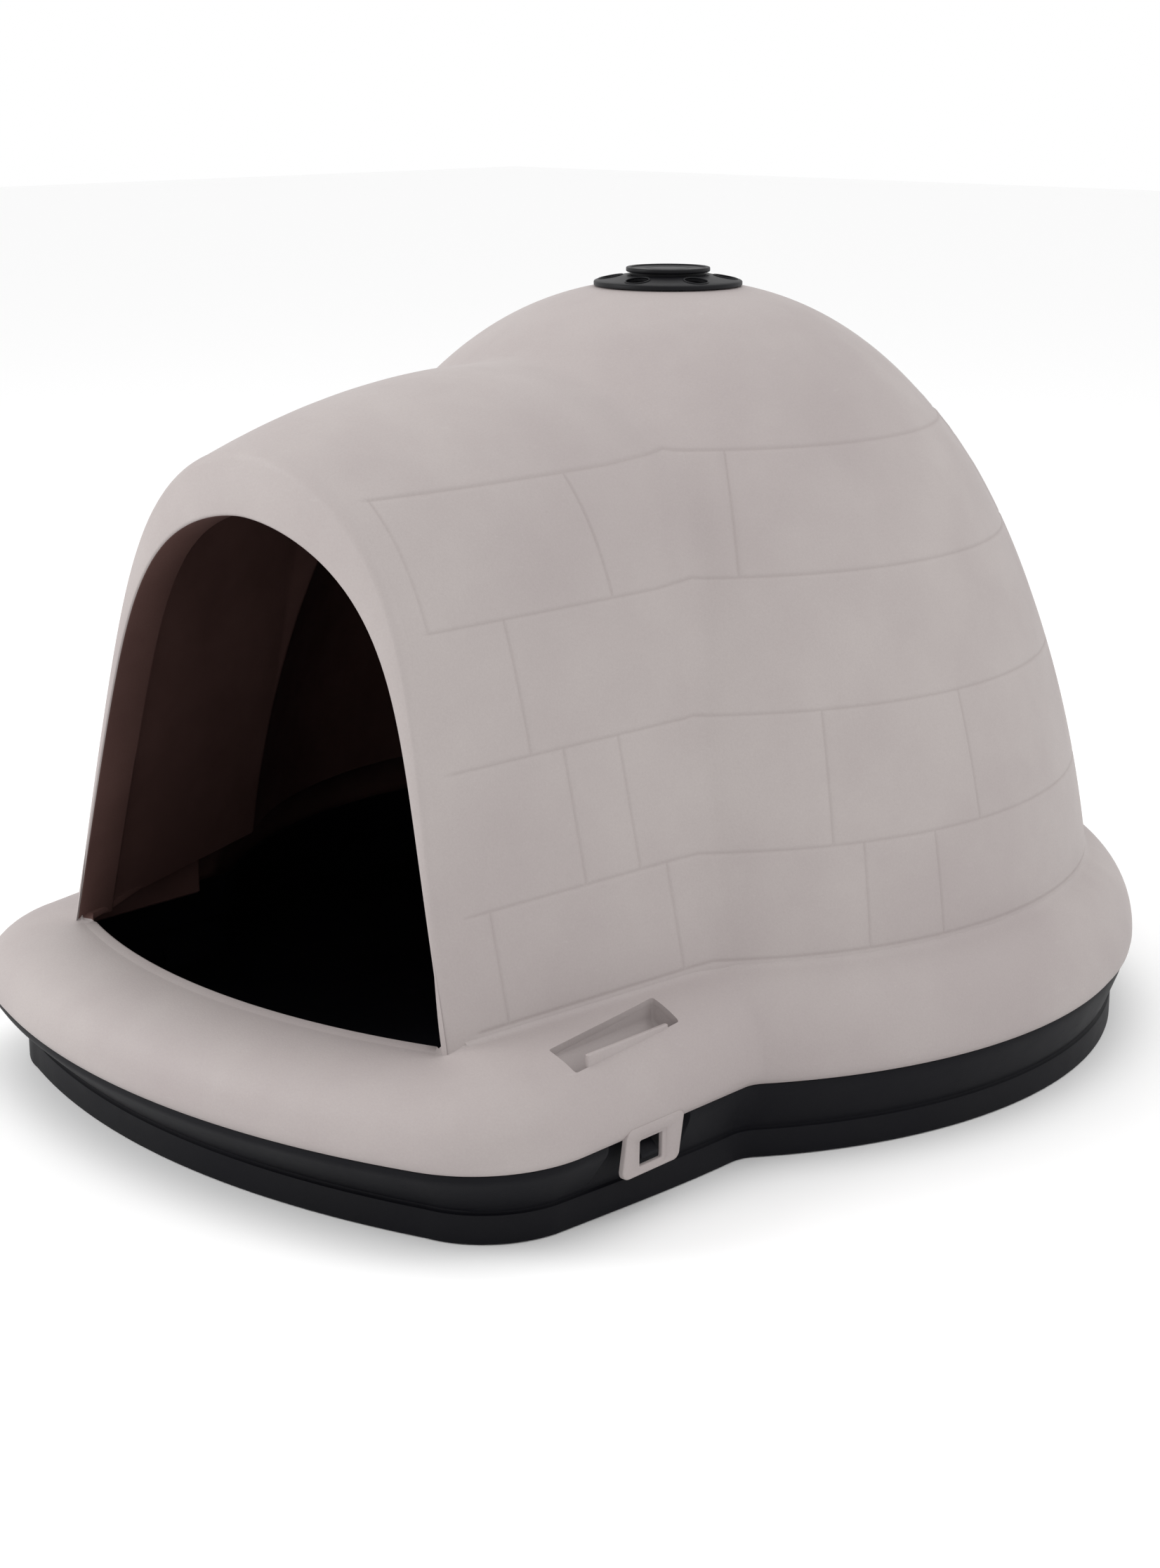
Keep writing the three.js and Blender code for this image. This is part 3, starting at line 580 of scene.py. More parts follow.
# ---- the moulded form --------------------------------------------------------------------------
@dataclass
class Form:
    """The curves of dome, hood and doorway that the pieces share, in millimetres."""

    dome_top: float = 652.6
    dome_radius: float = 400.6
    upright_z: float = -45.4
    rise_power: float = 2.02
    round_power: float = 2.31
    arch_base: float = 60.0
    front_y: float = -495.0
    rear_y: float = -252.0
    front_half: float = 250.0
    rear_half: float = 309.0
    lean: float = 0.235
    crest_z: float = 597.0
    crest_y: float = -215.0
    droop: float = 0.00063
    arch_rise: float = 9.0
    arch_round: float = 1.8
    fall: float = 16.0
    foot_z: float = 150.0
    sill_z: float = 128.0
    sill_radius: float = 600.0
    sill_centre_y: float = 55.0
    door_lean: float = 0.145
    door_half: float = 243.0
    door_taper: float = 0.235
    door_top: float = 503.0

    def dome_at(self, z: float, inset: float = 0.0) -> float:
        """Radius of the dome at a height."""
        rise = (z - self.upright_z) / (self.dome_top - inset - self.upright_z)
        return (self.dome_radius - inset) * max(0.0, 1 - rise ** self.rise_power) ** (1 / self.round_power)

    def dome_height(self, radius: float, inset: float = 0.0) -> float:
        """Height of the dome at a radius."""
        rise = (1 - (radius / (self.dome_radius - inset)) ** self.round_power) ** (1 / self.rise_power)
        return self.upright_z + rise * (self.dome_top - inset - self.upright_z)

    def ridge(self, y: float) -> float:
        """Height of the hood's ridge."""
        return self.crest_z - self.droop * max(0.0, self.crest_y - max(y, self.front_y)) ** 2

    def half(self, y: float) -> float:
        """Half width of the hood at its base height."""
        place = min(max(y, self.front_y), self.rear_y)
        return blend(self.front_half, self.rear_half, (place - self.front_y) / (self.rear_y - self.front_y))

    def foot_at(self, y: float) -> float:
        """Height of the wall's foot: level round the dome, falling towards the doorway."""
        along = min(1.0, max(0.0, (self.rear_y - y) / (self.rear_y - self.front_y)))
        return self.foot_z - self.fall * along

    def arch_at(self, z: float, y: float, inset: float = 0.0) -> float:
        """Half width of the hood at a height and a station.

        Args:
            z: height.
            y: station along the hood.
            inset: distance inside the outer face.

        Returns:
            The half width.
        """
        top = self.ridge(y) - inset
        rise = min(1.0, max(0.0, (z - self.arch_base) / (top - self.arch_base)))
        side = self.half(y) - inset - self.lean * (z - self.arch_base)
        return side * (1 - rise ** self.arch_rise) ** (1 / self.arch_round)

    def door_at(self, z: float) -> float:
        """Half width of the door opening at a height.

        Args:
            z: height.

        Returns:
            The half width.
        """
        rise = min(1.0, max(0.0, (z - self.arch_base) / (self.door_top - self.arch_base)))
        side = self.door_half - self.door_taper * (z - self.arch_base)
        return side * (1 - rise ** self.arch_rise) ** (1 / self.arch_round)

    def face_at(self, x: float, z: float) -> float:
        """Where the doorway's bowed face stands."""
        bow = math.sqrt(self.sill_radius ** 2 - x ** 2)
        return self.sill_centre_y - bow + self.door_lean * (z - self.sill_z)

    def hood_field(self, points: np.ndarray) -> np.ndarray:
        """Below 0 inside the hood and above 0 outside it.

        Args:
            points: points in millimetres.

        Returns:
            The field's value at each point.
        """
        x, y, z = np.abs(points[..., 0]), points[..., 1], points[..., 2]
        place = np.clip(y, self.front_y, None)
        top = self.crest_z - self.droop * np.clip(self.crest_y - place, 0, None) ** 2
        share = (np.clip(place, None, self.rear_y) - self.front_y) / (self.rear_y - self.front_y)
        side = blend(self.front_half, self.rear_half, share) - self.lean * (z - self.arch_base)
        rise = np.clip((z - self.arch_base) / (top - self.arch_base), 0, None)
        return (x / side) ** self.arch_round + rise ** self.arch_rise - 1

    def dome_field(self, points: np.ndarray) -> np.ndarray:
        """Below 0 inside the dome and above 0 outside it.

        Args:
            points: points in millimetres.

        Returns:
            The field's value at each point.
        """
        radius = np.hypot(points[..., 0], points[..., 1])
        rise = (points[..., 2] - self.upright_z) / (self.dome_top - self.upright_z)
        return (radius / self.dome_radius) ** self.round_power + rise ** self.rise_power - 1


def slope(surface: Callable[[np.ndarray], np.ndarray], points: np.ndarray, step: float = 0.4) -> np.ndarray:
    """Gradient of a field at each point, by small steps.

    Args:
        surface: the field.
        points: points in millimetres.
        step: length of a step.

    Returns:
        A vector for each point.
    """
    parts = []
    for axis in range(3):
        offset = np.zeros(3)
        offset[axis] = step
        parts.append((surface(points + offset) - surface(points - offset)) / (2 * step))
    return np.stack(parts, axis=-1)


@dataclass
class ShellWalls:
    """Dome and entrance hood as one moulding with block joints, rolled doorway and an inside painted very
    dark brown as shade.
    """

    form: Form
    courses: tuple = (155.5, 239.5, 343.5, 444.5, 537.0)
    hood_joints: tuple = ((-446, -288), (-361, -312), (-389,), (-452, -292), ())
    dome_joints: tuple = ((-23.0, -12.2, 44.0, 66.0, 90.0), (-27.2, -4.0, 52.0, 76.0),
                          (40.0, 62.0, 86.0), (-37.4, 47.0, 73.0), ())
    wall: float = 5.0
    start_z: float = 144.0
    row_step: float = 8.0
    joint_depth: float = 0.8
    joint_width: float = 1.15
    blend_size: float = 11.0
    fixed_from: float = -466.0
    fixed_to: float = -283.0
    dome_from: float = -39.5
    roll: float = 9.0
    lip_depth: float = 38.0
    plain_band: float = 21.0
    lip_turn: int = 10
    vent_hole: float = 62.3
    ridge_rows: int = 15
    crown_rows: int = 16
    crown_crowding: float = 0.9
    small_round: float = 3.5
    band_back: float = 16.0

    def row_heights(self) -> list[float]:
        """Heights of the rows up to the last course line, close together at each joint.

        Returns:
            The heights, lowest first.
        """
        last = self.courses[-1]
        near = [course + offset for course in self.courses for offset in (-3.6, -2.3, -1.1, 0, 1.1, 2.3, 3.6)]
        plain = np.arange(self.start_z, last, self.row_step).tolist()
        kept = [z for z in plain if min(abs(z - course) for course in self.courses) > 5.5]
        return sorted(z for z in near + kept if z <= last)

    def ridge_shares(self) -> list[float]:
        """Shares of the way from the last course line to the ridge, close together at both ends.

        Returns:
            The shares, smallest first.
        """
        first = [0.018, 0.038, 0.062]
        rest = [1 - (1 - i / self.ridge_rows) ** 2 for i in range(1, self.ridge_rows + 1)]
        return first + rest

    def hood_stations(self) -> list[float]:
        """Fixed stations along the hood, close together at each joint.

        Returns:
            The stations, nearest the doorway first.
        """
        joints = sorted({y for course in self.hood_joints for y in course})
        near = [y + offset for y in joints for offset in (-2.3, -1.1, 0, 1.1, 2.3)]
        plain = np.arange(self.fixed_from, self.fixed_to, 7.0).tolist()
        kept = [y for y in plain if min(abs(y - joint) for joint in joints) > 4.0]
        return sorted(near + kept)

    def dome_stations(self) -> list[float]:
        """Fixed angles round the right half of the dome, up to the rear middle, in degrees.

        Returns:
            The angles, smallest first.
        """
        joints = sorted({a for course in self.dome_joints for a in course})
        reach = math.degrees(1.2 / 360)
        near = [a + k * reach for a in joints for k in (-2, -1, 0, 1, 2) if a + k * reach <= 90]
        plain = np.arange(self.dome_from, 90.0, 3.4).tolist() + [90.0]
        kept = [a for a in plain if min(abs(a - joint) for joint in joints) > 0.9]
        return sorted(set(near + kept) | {90.0})

    def valley(self, z: float, inset: float) -> float:
        """Station where hood and dome meet at a height.

        Args:
            z: height.
            inset: distance inside the outer face.

        Returns:
            The station along Y.
        """
        radius = self.form.dome_at(z, inset)
        y = -0.7 * radius
        for _ in range(30):
            y = -math.sqrt(max(0.0, radius ** 2 - self.form.arch_at(z, y, inset) ** 2))
        return y

    def row_z(self, low: float, share: Optional[float], y: float, valley_y: float, inset: float) -> float:
        """Height of a row at a station along the hood: it falls towards the door.

        Args:
            low: height that the row starts from at the valley.
            share: share of the way to the ridge, if it has one.
            y: station.
            valley_y: station of the valley on this row.
            inset: distance inside the outer face.

        Returns:
            The height.
        """
        along = max(0.0, (valley_y - y) / (valley_y - self.form.front_y))
        fallen = low - self.form.fall * along
        if share is None:
            return fallen
        return blend(fallen, self.form.ridge(y) - inset, share)

    def hood_end(self, low: float, share: Optional[float], valley_y: float, inset: float,
                 depth: float) -> float:
        """Station where a row ends, at a depth behind the doorway's face.

        Args:
            low: height that the row starts from at the valley.
            share: share of the way to the ridge, if it has one.
            valley_y: station of the valley on this row.
            inset: distance inside the outer face.
            depth: distance behind the doorway's face.

        Returns:
            The station.
        """
        y = self.form.front_y
        for _ in range(12):
            z = self.row_z(low, share, y, valley_y, inset)
            y = self.form.face_at(self.form.arch_at(z, y, inset), z) + depth
        return y

    def rows(self) -> list[tuple[float, Optional[float]]]:
        """All rows up to the ridge: a height, and the share of the way to the ridge where it has one."""
        low = [(z, None) for z in self.row_heights()]
        return low + [(self.courses[-1], share) for share in self.ridge_shares()]

    def hood_grid(self, inset: float, depth: float) -> tuple[np.ndarray, np.ndarray]:
        """Right side of the hood, from the doorway to the valley.

        Args:
            inset: how far inside the outer surface it lies.
            depth: how far behind the doorway's face it ends.

        Returns:
            Points by row and station, and the height that each row starts from at the valley.
        """
        fixed = self.hood_stations()
        fore = [i / 7 for i in range(7)]
        aft = [1 - (1 - i / 15) ** 1.5 for i in range(1, 16)]
        grid, starts = [], []
        for low, share in self.rows():
            meet_z = low if share is None else blend(low, self.form.crest_z - inset, share)
            valley_y = self.valley(meet_z, inset)
            end = self.hood_end(low, share, valley_y, inset, depth)
            if inset:
                count = len(fore) + len(fixed) + len(aft) - 1
                stations = [blend(end, valley_y, i / count) for i in range(count + 1)]
            else:
                stations = [blend(end, fixed[0], s) for s in fore] + fixed
                stations += [blend(fixed[-1], valley_y, s) for s in aft]
            line = []
            for y in stations:
                z = self.row_z(low, share, y, valley_y, inset)
                x = 0.0 if share == 1.0 else self.form.arch_at(z, y, inset)
                line.append((x, y, z))
            grid.append(line)
            starts.append(meet_z)
        return np.array(grid), np.array(starts)

    def dome_grid(self, starts: np.ndarray, inset: float) -> np.ndarray:
        """The dome from its right valley round the rear to its left one, then whole rings up to the vent.

        Args:
            starts: height of each row up to the ridge.
            inset: distance inside the outer face.

        Returns:
            Points by row and angle.
        """
        right = self.dome_stations()
        apex = self.form.dome_at(starts[-1], inset)
        rings = [blend(apex, self.vent_hole, (i / self.crown_rows) ** self.crown_crowding)
                 for i in range(1, self.crown_rows + 1)]
        heights = starts.tolist() + [self.form.dome_height(r, inset) for r in rings]
        shares = [(i / 15) ** 1.35 for i in range(15)]
        grid = []
        for row, z in enumerate(heights):
            radius = self.form.dome_at(z, inset) if row < len(starts) else rings[row - len(starts)]
            first = -90.0
            if row < len(starts) - 1:
                y = self.valley(z, inset)
                first = math.degrees(math.atan2(y, self.form.arch_at(z, y, inset)))
            half = [blend(first, right[0], s) for s in shares] + right
            angles = half + [180 - a for a in reversed(half[:-1])]
            grid.append([(radius * math.cos(a), radius * math.sin(a), z) for a in map(math.radians, angles)])
        return np.array(grid)

    def soften(self, points: np.ndarray, own: Callable, other: Callable) -> tuple[np.ndarray, np.ndarray]:
        """Rounds the valley and gives the outward direction at each point.

        Args:
            points: points of one surface.
            own: that surface's field.
            other: the other surface's field.

        Returns:
            The moved points and their outward directions.
        """
        mine, theirs = slope(own, points), slope(other, points)
        my_size, their_size = (np.linalg.norm(v, axis=-1, keepdims=True) for v in (mine, theirs))
        distance = np.clip(other(points)[..., None] / their_size, 0, None)
        near = np.clip(1 - distance / self.blend_size, 0, 1)
        outward = mine / my_size * (1 - near / 2) + theirs / their_size * (near / 2)
        size = np.linalg.norm(outward, axis=-1, keepdims=True)
        outward = outward / size
        return points + outward * (near ** 2 * self.blend_size / 4 / size), outward

    def groove(self, distance: np.ndarray) -> np.ndarray:
        """Depth share of a joint at a distance from its line."""
        return np.exp(-(distance / self.joint_width) ** 2)

    def course_of(self, heights: np.ndarray) -> np.ndarray:
        """Number of the course that each height lies in."""
        return np.searchsorted(np.array(self.courses[1:]), heights)

    def joints(self, heights: np.ndarray, upright: Sequence[Sequence[float]],
               distance: Callable[[float], np.ndarray]) -> np.ndarray:
        """Depth share of the block joints over a grid.

        Args:
            heights: height of each row at the valley.
            upright: upright joint lines of each course.
            distance: distance of every grid point from one upright line.

        Returns:
            A share from 0 to 1 for each point.
        """
        level = np.max([self.groove(heights - course) for course in self.courses], axis=0)[:, None]
        depth = level
        course = self.course_of(heights)[:, None]
        for number, lines in enumerate(upright):
            inside = (course == number) & (heights[:, None] > self.courses[0])
            for line in lines:
                depth = np.maximum(depth, np.where(inside, self.groove(distance(line)), 0))
        return depth

    def build(self, shell: bpy.types.Material, lining: bpy.types.Material) -> bpy.types.Object:
        """Builds the closed wall: outer face, rolled doorway, lining, foot and vent hole.

        Args:
            shell: material of the outer face.
            lining: material of the inner face, painted dark brown as shade.

        Returns:
            The walls as one object.
        """
        form, skin = self.form, Skin()
        hood, starts = self.hood_grid(0.0, self.roll)
        dome = self.dome_grid(starts, 0.0)
        heights = np.array([row[0][2] for row in dome])
        hood_depth = self.joints(starts, self.hood_joints, lambda line: np.abs(hood[..., 1] - line))
        dome_depth = self.joints(heights, self.dome_joints, lambda line: self.arc_distance(dome, line))
        face = hood[:, :1, 1] - self.roll
        hood_depth = hood_depth * np.clip((hood[..., 1] - face - self.plain_band) / 7, 0, 1)
        hood, hood_out = self.soften(hood, form.hood_field, form.dome_field)
        dome, dome_out = self.soften(dome, form.dome_field, form.hood_field)
        self.level_middle(hood, hood_out)
        hood = hood - hood_out * (hood_depth * self.joint_depth)[..., None]
        dome = dome - dome_out * (dome_depth * self.joint_depth)[..., None]
        seam = len(starts)
        dome[:seam, 0], dome[:seam, -1] = hood[:, -1], hood[:, -1] * (-1, 1, 1)
        dome[seam:, -1] = dome[seam:, 0]
        inner_hood, inner_starts = self.hood_grid(self.wall, self.lip_depth)
        inner_dome = self.dome_grid(inner_starts, self.wall)
        inner_dome[:seam, 0], inner_dome[:seam, -1] = inner_hood[:, -1], inner_hood[:, -1] * (-1, 1, 1)
        outer = skin.grid(dome, dome_depth)
        skin.quads(outer)
        inner = skin.grid(inner_dome)
        # The inner faces take the painted shade.
        skin.quads(inner, slot=INSIDE)
        skin.quads(np.stack([outer[-1], inner[-1]]))
        skin.quads(np.stack([outer[0], inner[0]]), slot=INSIDE)
        for side in Side:
            flip = np.array((side.value, 1, 1))
            out, back = skin.grid(hood * flip, hood_depth), skin.grid(inner_hood * flip)
            lip = skin.grid(self.doorway(hood, inner_hood) * flip)
            skin.quads(out)
            skin.quads(back, slot=INSIDE)
            skin.quads(np.stack([out[0], back[0]]), slot=INSIDE)
            skin.quads(np.hstack([out[:, :1], lip[:, :self.lip_turn]]))
            # The doorway's inner return, from the small round on, takes the painted shade.
            skin.quads(np.hstack([lip[:, self.lip_turn - 1:], back[:, :1]]), slot=INSIDE)
            skin.face([out[0, 0], *lip[0], back[0, 0]])
        return skin.piece("shell_walls", [shell, lining], 52.0)

    @staticmethod
    def arc_distance(points: np.ndarray, line: float) -> np.ndarray:
        """Distance round the dome from an upright joint, on whichever side of the kennel it is nearer.

        Args:
            points: points of the dome.
            line: the joint's angle in degrees.

        Returns:
            A distance for each point.
        """
        radius = np.hypot(points[..., 0], points[..., 1])
        angle = np.degrees(np.arctan2(points[..., 1], np.abs(points[..., 0])))
        return np.radians(np.abs(angle - line)) * radius

    @staticmethod
    def level_middle(points: np.ndarray, outward: np.ndarray) -> None:
        """Keeps the ridge row on the middle plane."""
        points[-1, :, 0] = 0.0
        outward[-1, :, 0] = 0.0

    def doorway(self, hood: np.ndarray, lining: np.ndarray) -> np.ndarray:
        """The rolled band from the wall's front edge to the door opening and back to the lining.

        Args:
            hood: the hood's outer points.
            lining: the hood's inner points; not used.

        Returns:
            Points by row, from the front edge to the lining.
        """
        form = self.form
        ridge_z, foot_z = hood[-1, 0, 2], hood[0, 0, 2]
        rings = []
        for row in range(len(hood)):
            x, y, z = hood[row, 0]
            share = (z - foot_z) / (ridge_z - foot_z)
            door_z = blend(foot_z, form.door_top, share)
            door_x = 0.0 if row == len(hood) - 1 else form.door_at(door_z)
            span = math.hypot(x - door_x, z - door_z)
            rows = [(self.roll * (1 - math.cos(a)), self.roll * (1 - math.sin(a)))
                    for a in np.radians((15, 30, 45, 60, 75, 90))]
            small = self.small_round
            rows.append((blend(self.roll, span - small, 0.5), 0.0))
            rows += [(span - small + small * math.sin(a), small * (1 - math.cos(a)))
                     for a in np.radians((0, 30, 60, 90))]
            rows += [(span, self.band_back), (span, self.lip_depth - 1.5), (span - 1.0, self.lip_depth)]
            line = []
            for inset, depth in rows:
                part = inset / span
                px, pz = blend(x, door_x, part), blend(z, door_z, part)
                line.append((px, form.face_at(px, pz) + depth, pz))
            rings.append(line)
        return np.array(rings)


# ---- outline of skirt and tub ------------------------------------------------------------------
@dataclass
class Station:
    """One upright section across the skirt or the tub."""

    edge: np.ndarray
    inward: np.ndarray
    width: float
    foot_z: float
    fullness: float
    flange: float
    place: float

    def at(self, across: float, z: float) -> tuple[float, float, float]:
        """A point this far in from the skirt's edge, at a height."""
        x, y = self.edge + self.inward * across
        return (float(x), float(y), z)


@dataclass
class Outline:
    """The skirt's lower edge and the walls' foot line, seen from above, stretch by stretch."""

    form: Form
    body_radius: float = 426.8
    front_radius: float = 718.0
    front_centre_y: float = 106.2
    flank_x: float = 332.0
    corner_radius: float = 110.0
    waist_radius: float = 26.0
    lip_foot_radius: float = 20.0
    sill_flange: float = 16.0
    side_flange: float = 3.6
    fullness: tuple = (0.95, 0.7)
    counts: tuple = (22, 22, 90, 14, 26, 60)

    def hood_foot(self, y: float) -> float:
        """Half width of the hood at its foot."""
        return self.form.arch_at(self.form.foot_at(y), y)

    @staticmethod
    def arc(centre: tuple, radius: float, start: float, end: float, count: int) -> list[tuple[float, float]]:
        """Points along an arc, without its last one."""
        angles = [blend(start, end, i / count) for i in range(count)]
        return [(centre[0] + radius * math.cos(a), centre[1] + radius * math.sin(a)) for a in angles]

    @staticmethod
    def line(start: tuple, end: tuple, count: int) -> list[tuple[float, float]]:
        """Points along a line, without its last one."""
        return [tuple(blend(start[k], end[k], i / count) for k in (0, 1)) for i in range(count)]

    def round_body(self, radius: float, start: float) -> list[tuple[float, float]]:
        """The stretches round the dome, to the rear middle.

        Args:
            radius: radius of the arc.
            start: angle that it starts from.

        Returns:
            The points.
        """
        side, back = self.counts[4:]
        return (self.arc((0, 0), radius, start, 0, side) + self.arc((0, 0), radius, 0, math.pi / 2, back)
                + [(0.0, radius)])

    def edge_line(self) -> list[tuple[float, float]]:
        """Half of the skirt's lower edge.

        Returns:
            The points, from the front middle to the rear middle.
        """
        front, corner, flank, waist = self.counts[:4]
        corner_x = self.flank_x - self.corner_radius
        drop = math.sqrt((self.front_radius - self.corner_radius) ** 2 - corner_x ** 2)
        corner_y = self.front_centre_y - drop
        turn = math.atan2(-drop, corner_x)
        waist_x = self.flank_x + self.waist_radius
        waist_y = -math.sqrt((self.body_radius + self.waist_radius) ** 2 - waist_x ** 2)
        body_from = math.atan2(waist_y, waist_x)
        return (self.arc((0, self.front_centre_y), self.front_radius, -math.pi / 2, turn, front)
                + self.arc((corner_x, corner_y), self.corner_radius, turn, 0, corner)
                + self.line((self.flank_x, corner_y), (self.flank_x, waist_y), flank)
                + self.arc((waist_x, waist_y), self.waist_radius, math.pi, math.pi + body_from, waist)
                + self.round_body(self.body_radius, body_from))

    def foot_line(self) -> list[tuple[float, float]]:
        """Half of the walls' foot line.

        Returns:
            The points, from the front middle to the rear middle.
        """
        front, corner, flank, waist = self.counts[:4]
        form = self.form
        radius = form.dome_at(form.foot_z)
        sill_x = self.hood_foot(form.front_y) - self.lip_foot_radius
        drop = math.sqrt((form.sill_radius - self.lip_foot_radius) ** 2 - sill_x ** 2)
        lip_y = form.sill_centre_y - drop
        turn = math.atan2(-drop, sill_x)
        valley_y = form.rear_y
        for _ in range(8):
            valley_y = -math.sqrt(radius ** 2 - self.hood_foot(valley_y) ** 2)
        valley = (self.hood_foot(valley_y), valley_y)
        reach = self.waist_radius / 1.6
        before = (self.hood_foot(valley_y - reach), valley_y - reach)
        body_from = math.atan2(valley[1], valley[0]) + reach / radius
        after = (radius * math.cos(body_from), radius * math.sin(body_from))
        bend = []
        for i in range(waist):
            t = i / waist
            shares = (1 - t) ** 2, 2 * t * (1 - t), t * t
            bend.append(tuple(shares[0] * before[k] + shares[1] * valley[k] + shares[2] * after[k]
                              for k in (0, 1)))
        return (self.arc((0, form.sill_centre_y), form.sill_radius, -math.pi / 2, turn, front)
                + self.arc((sill_x, lip_y), self.lip_foot_radius, turn, 0, corner)
                + self.line((self.hood_foot(lip_y), lip_y), before, flank) + bend
                + self.round_body(radius, body_from))

    def stations(self) -> list[Station]:
        """Right half's sections from the front middle to the rear middle.

        Returns:
            The sections in order.
        """
        places = [k + i / count for k, count in enumerate(self.counts) for i in range(count)]
        places.append(float(len(self.counts)))
        found = []
        for place, *ends in zip(places, self.edge_line(), self.foot_line()):
            edge, foot = map(np.array, ends)
            width = float(np.linalg.norm(foot - edge))
            corner = smoothstep(place, 1, 2)
            back = smoothstep(min(place - 2, 1) * 10 + max(0.0, min(place - 3, 1)) * 4, 0, 14)
            foot_z = blend(self.form.sill_z, self.form.foot_at(float(foot[1])), corner)
            flange = blend(self.sill_flange, self.side_flange, smoothstep(place, 2, 2.4))
            found.append(Station(edge, (foot - edge) / width, width, foot_z, blend(*self.fullness, back),
                                 flange, place))
        return found

    def sweep(self, section: Callable[[Station], list[tuple[float, float]]]) -> np.ndarray:
        """Points of a section carried once round the kennel, by station.

        Args:
            section: gives a station's (distance in, height) points.

        Returns:
            Points by station and place on the section.
        """
        right = [[s.at(u, z) for u, z in section(s)] for s in self.stations()]
        left = [[(-x, y, z) for x, y, z in ring] for ring in reversed(right[1:-1])]
        return np.array(right + left)


def shoulder(start: tuple, end: tuple, fullness: float, steps: int) -> list[tuple[float, float]]:
    """A round shoulder from an upright start to a sloping end: a conic cornered above its start.

    Args:
        start: first point.
        end: last point.
        fullness: height share of the corner that it rounds.
        steps: facets.

    Returns:
        The points.
    """
    corner = (start[0], blend(start[1], end[1], fullness))
    found = []
    for i in range(steps + 1):
        t = i / steps
        a, b, c = (1 - t) ** 2, 2 * SHOULDER_WEIGHT * t * (1 - t), t * t
        found.append(tuple((a * start[k] + b * corner[k] + c * end[k]) / (a + b + c) for k in (0, 1)))
    return found


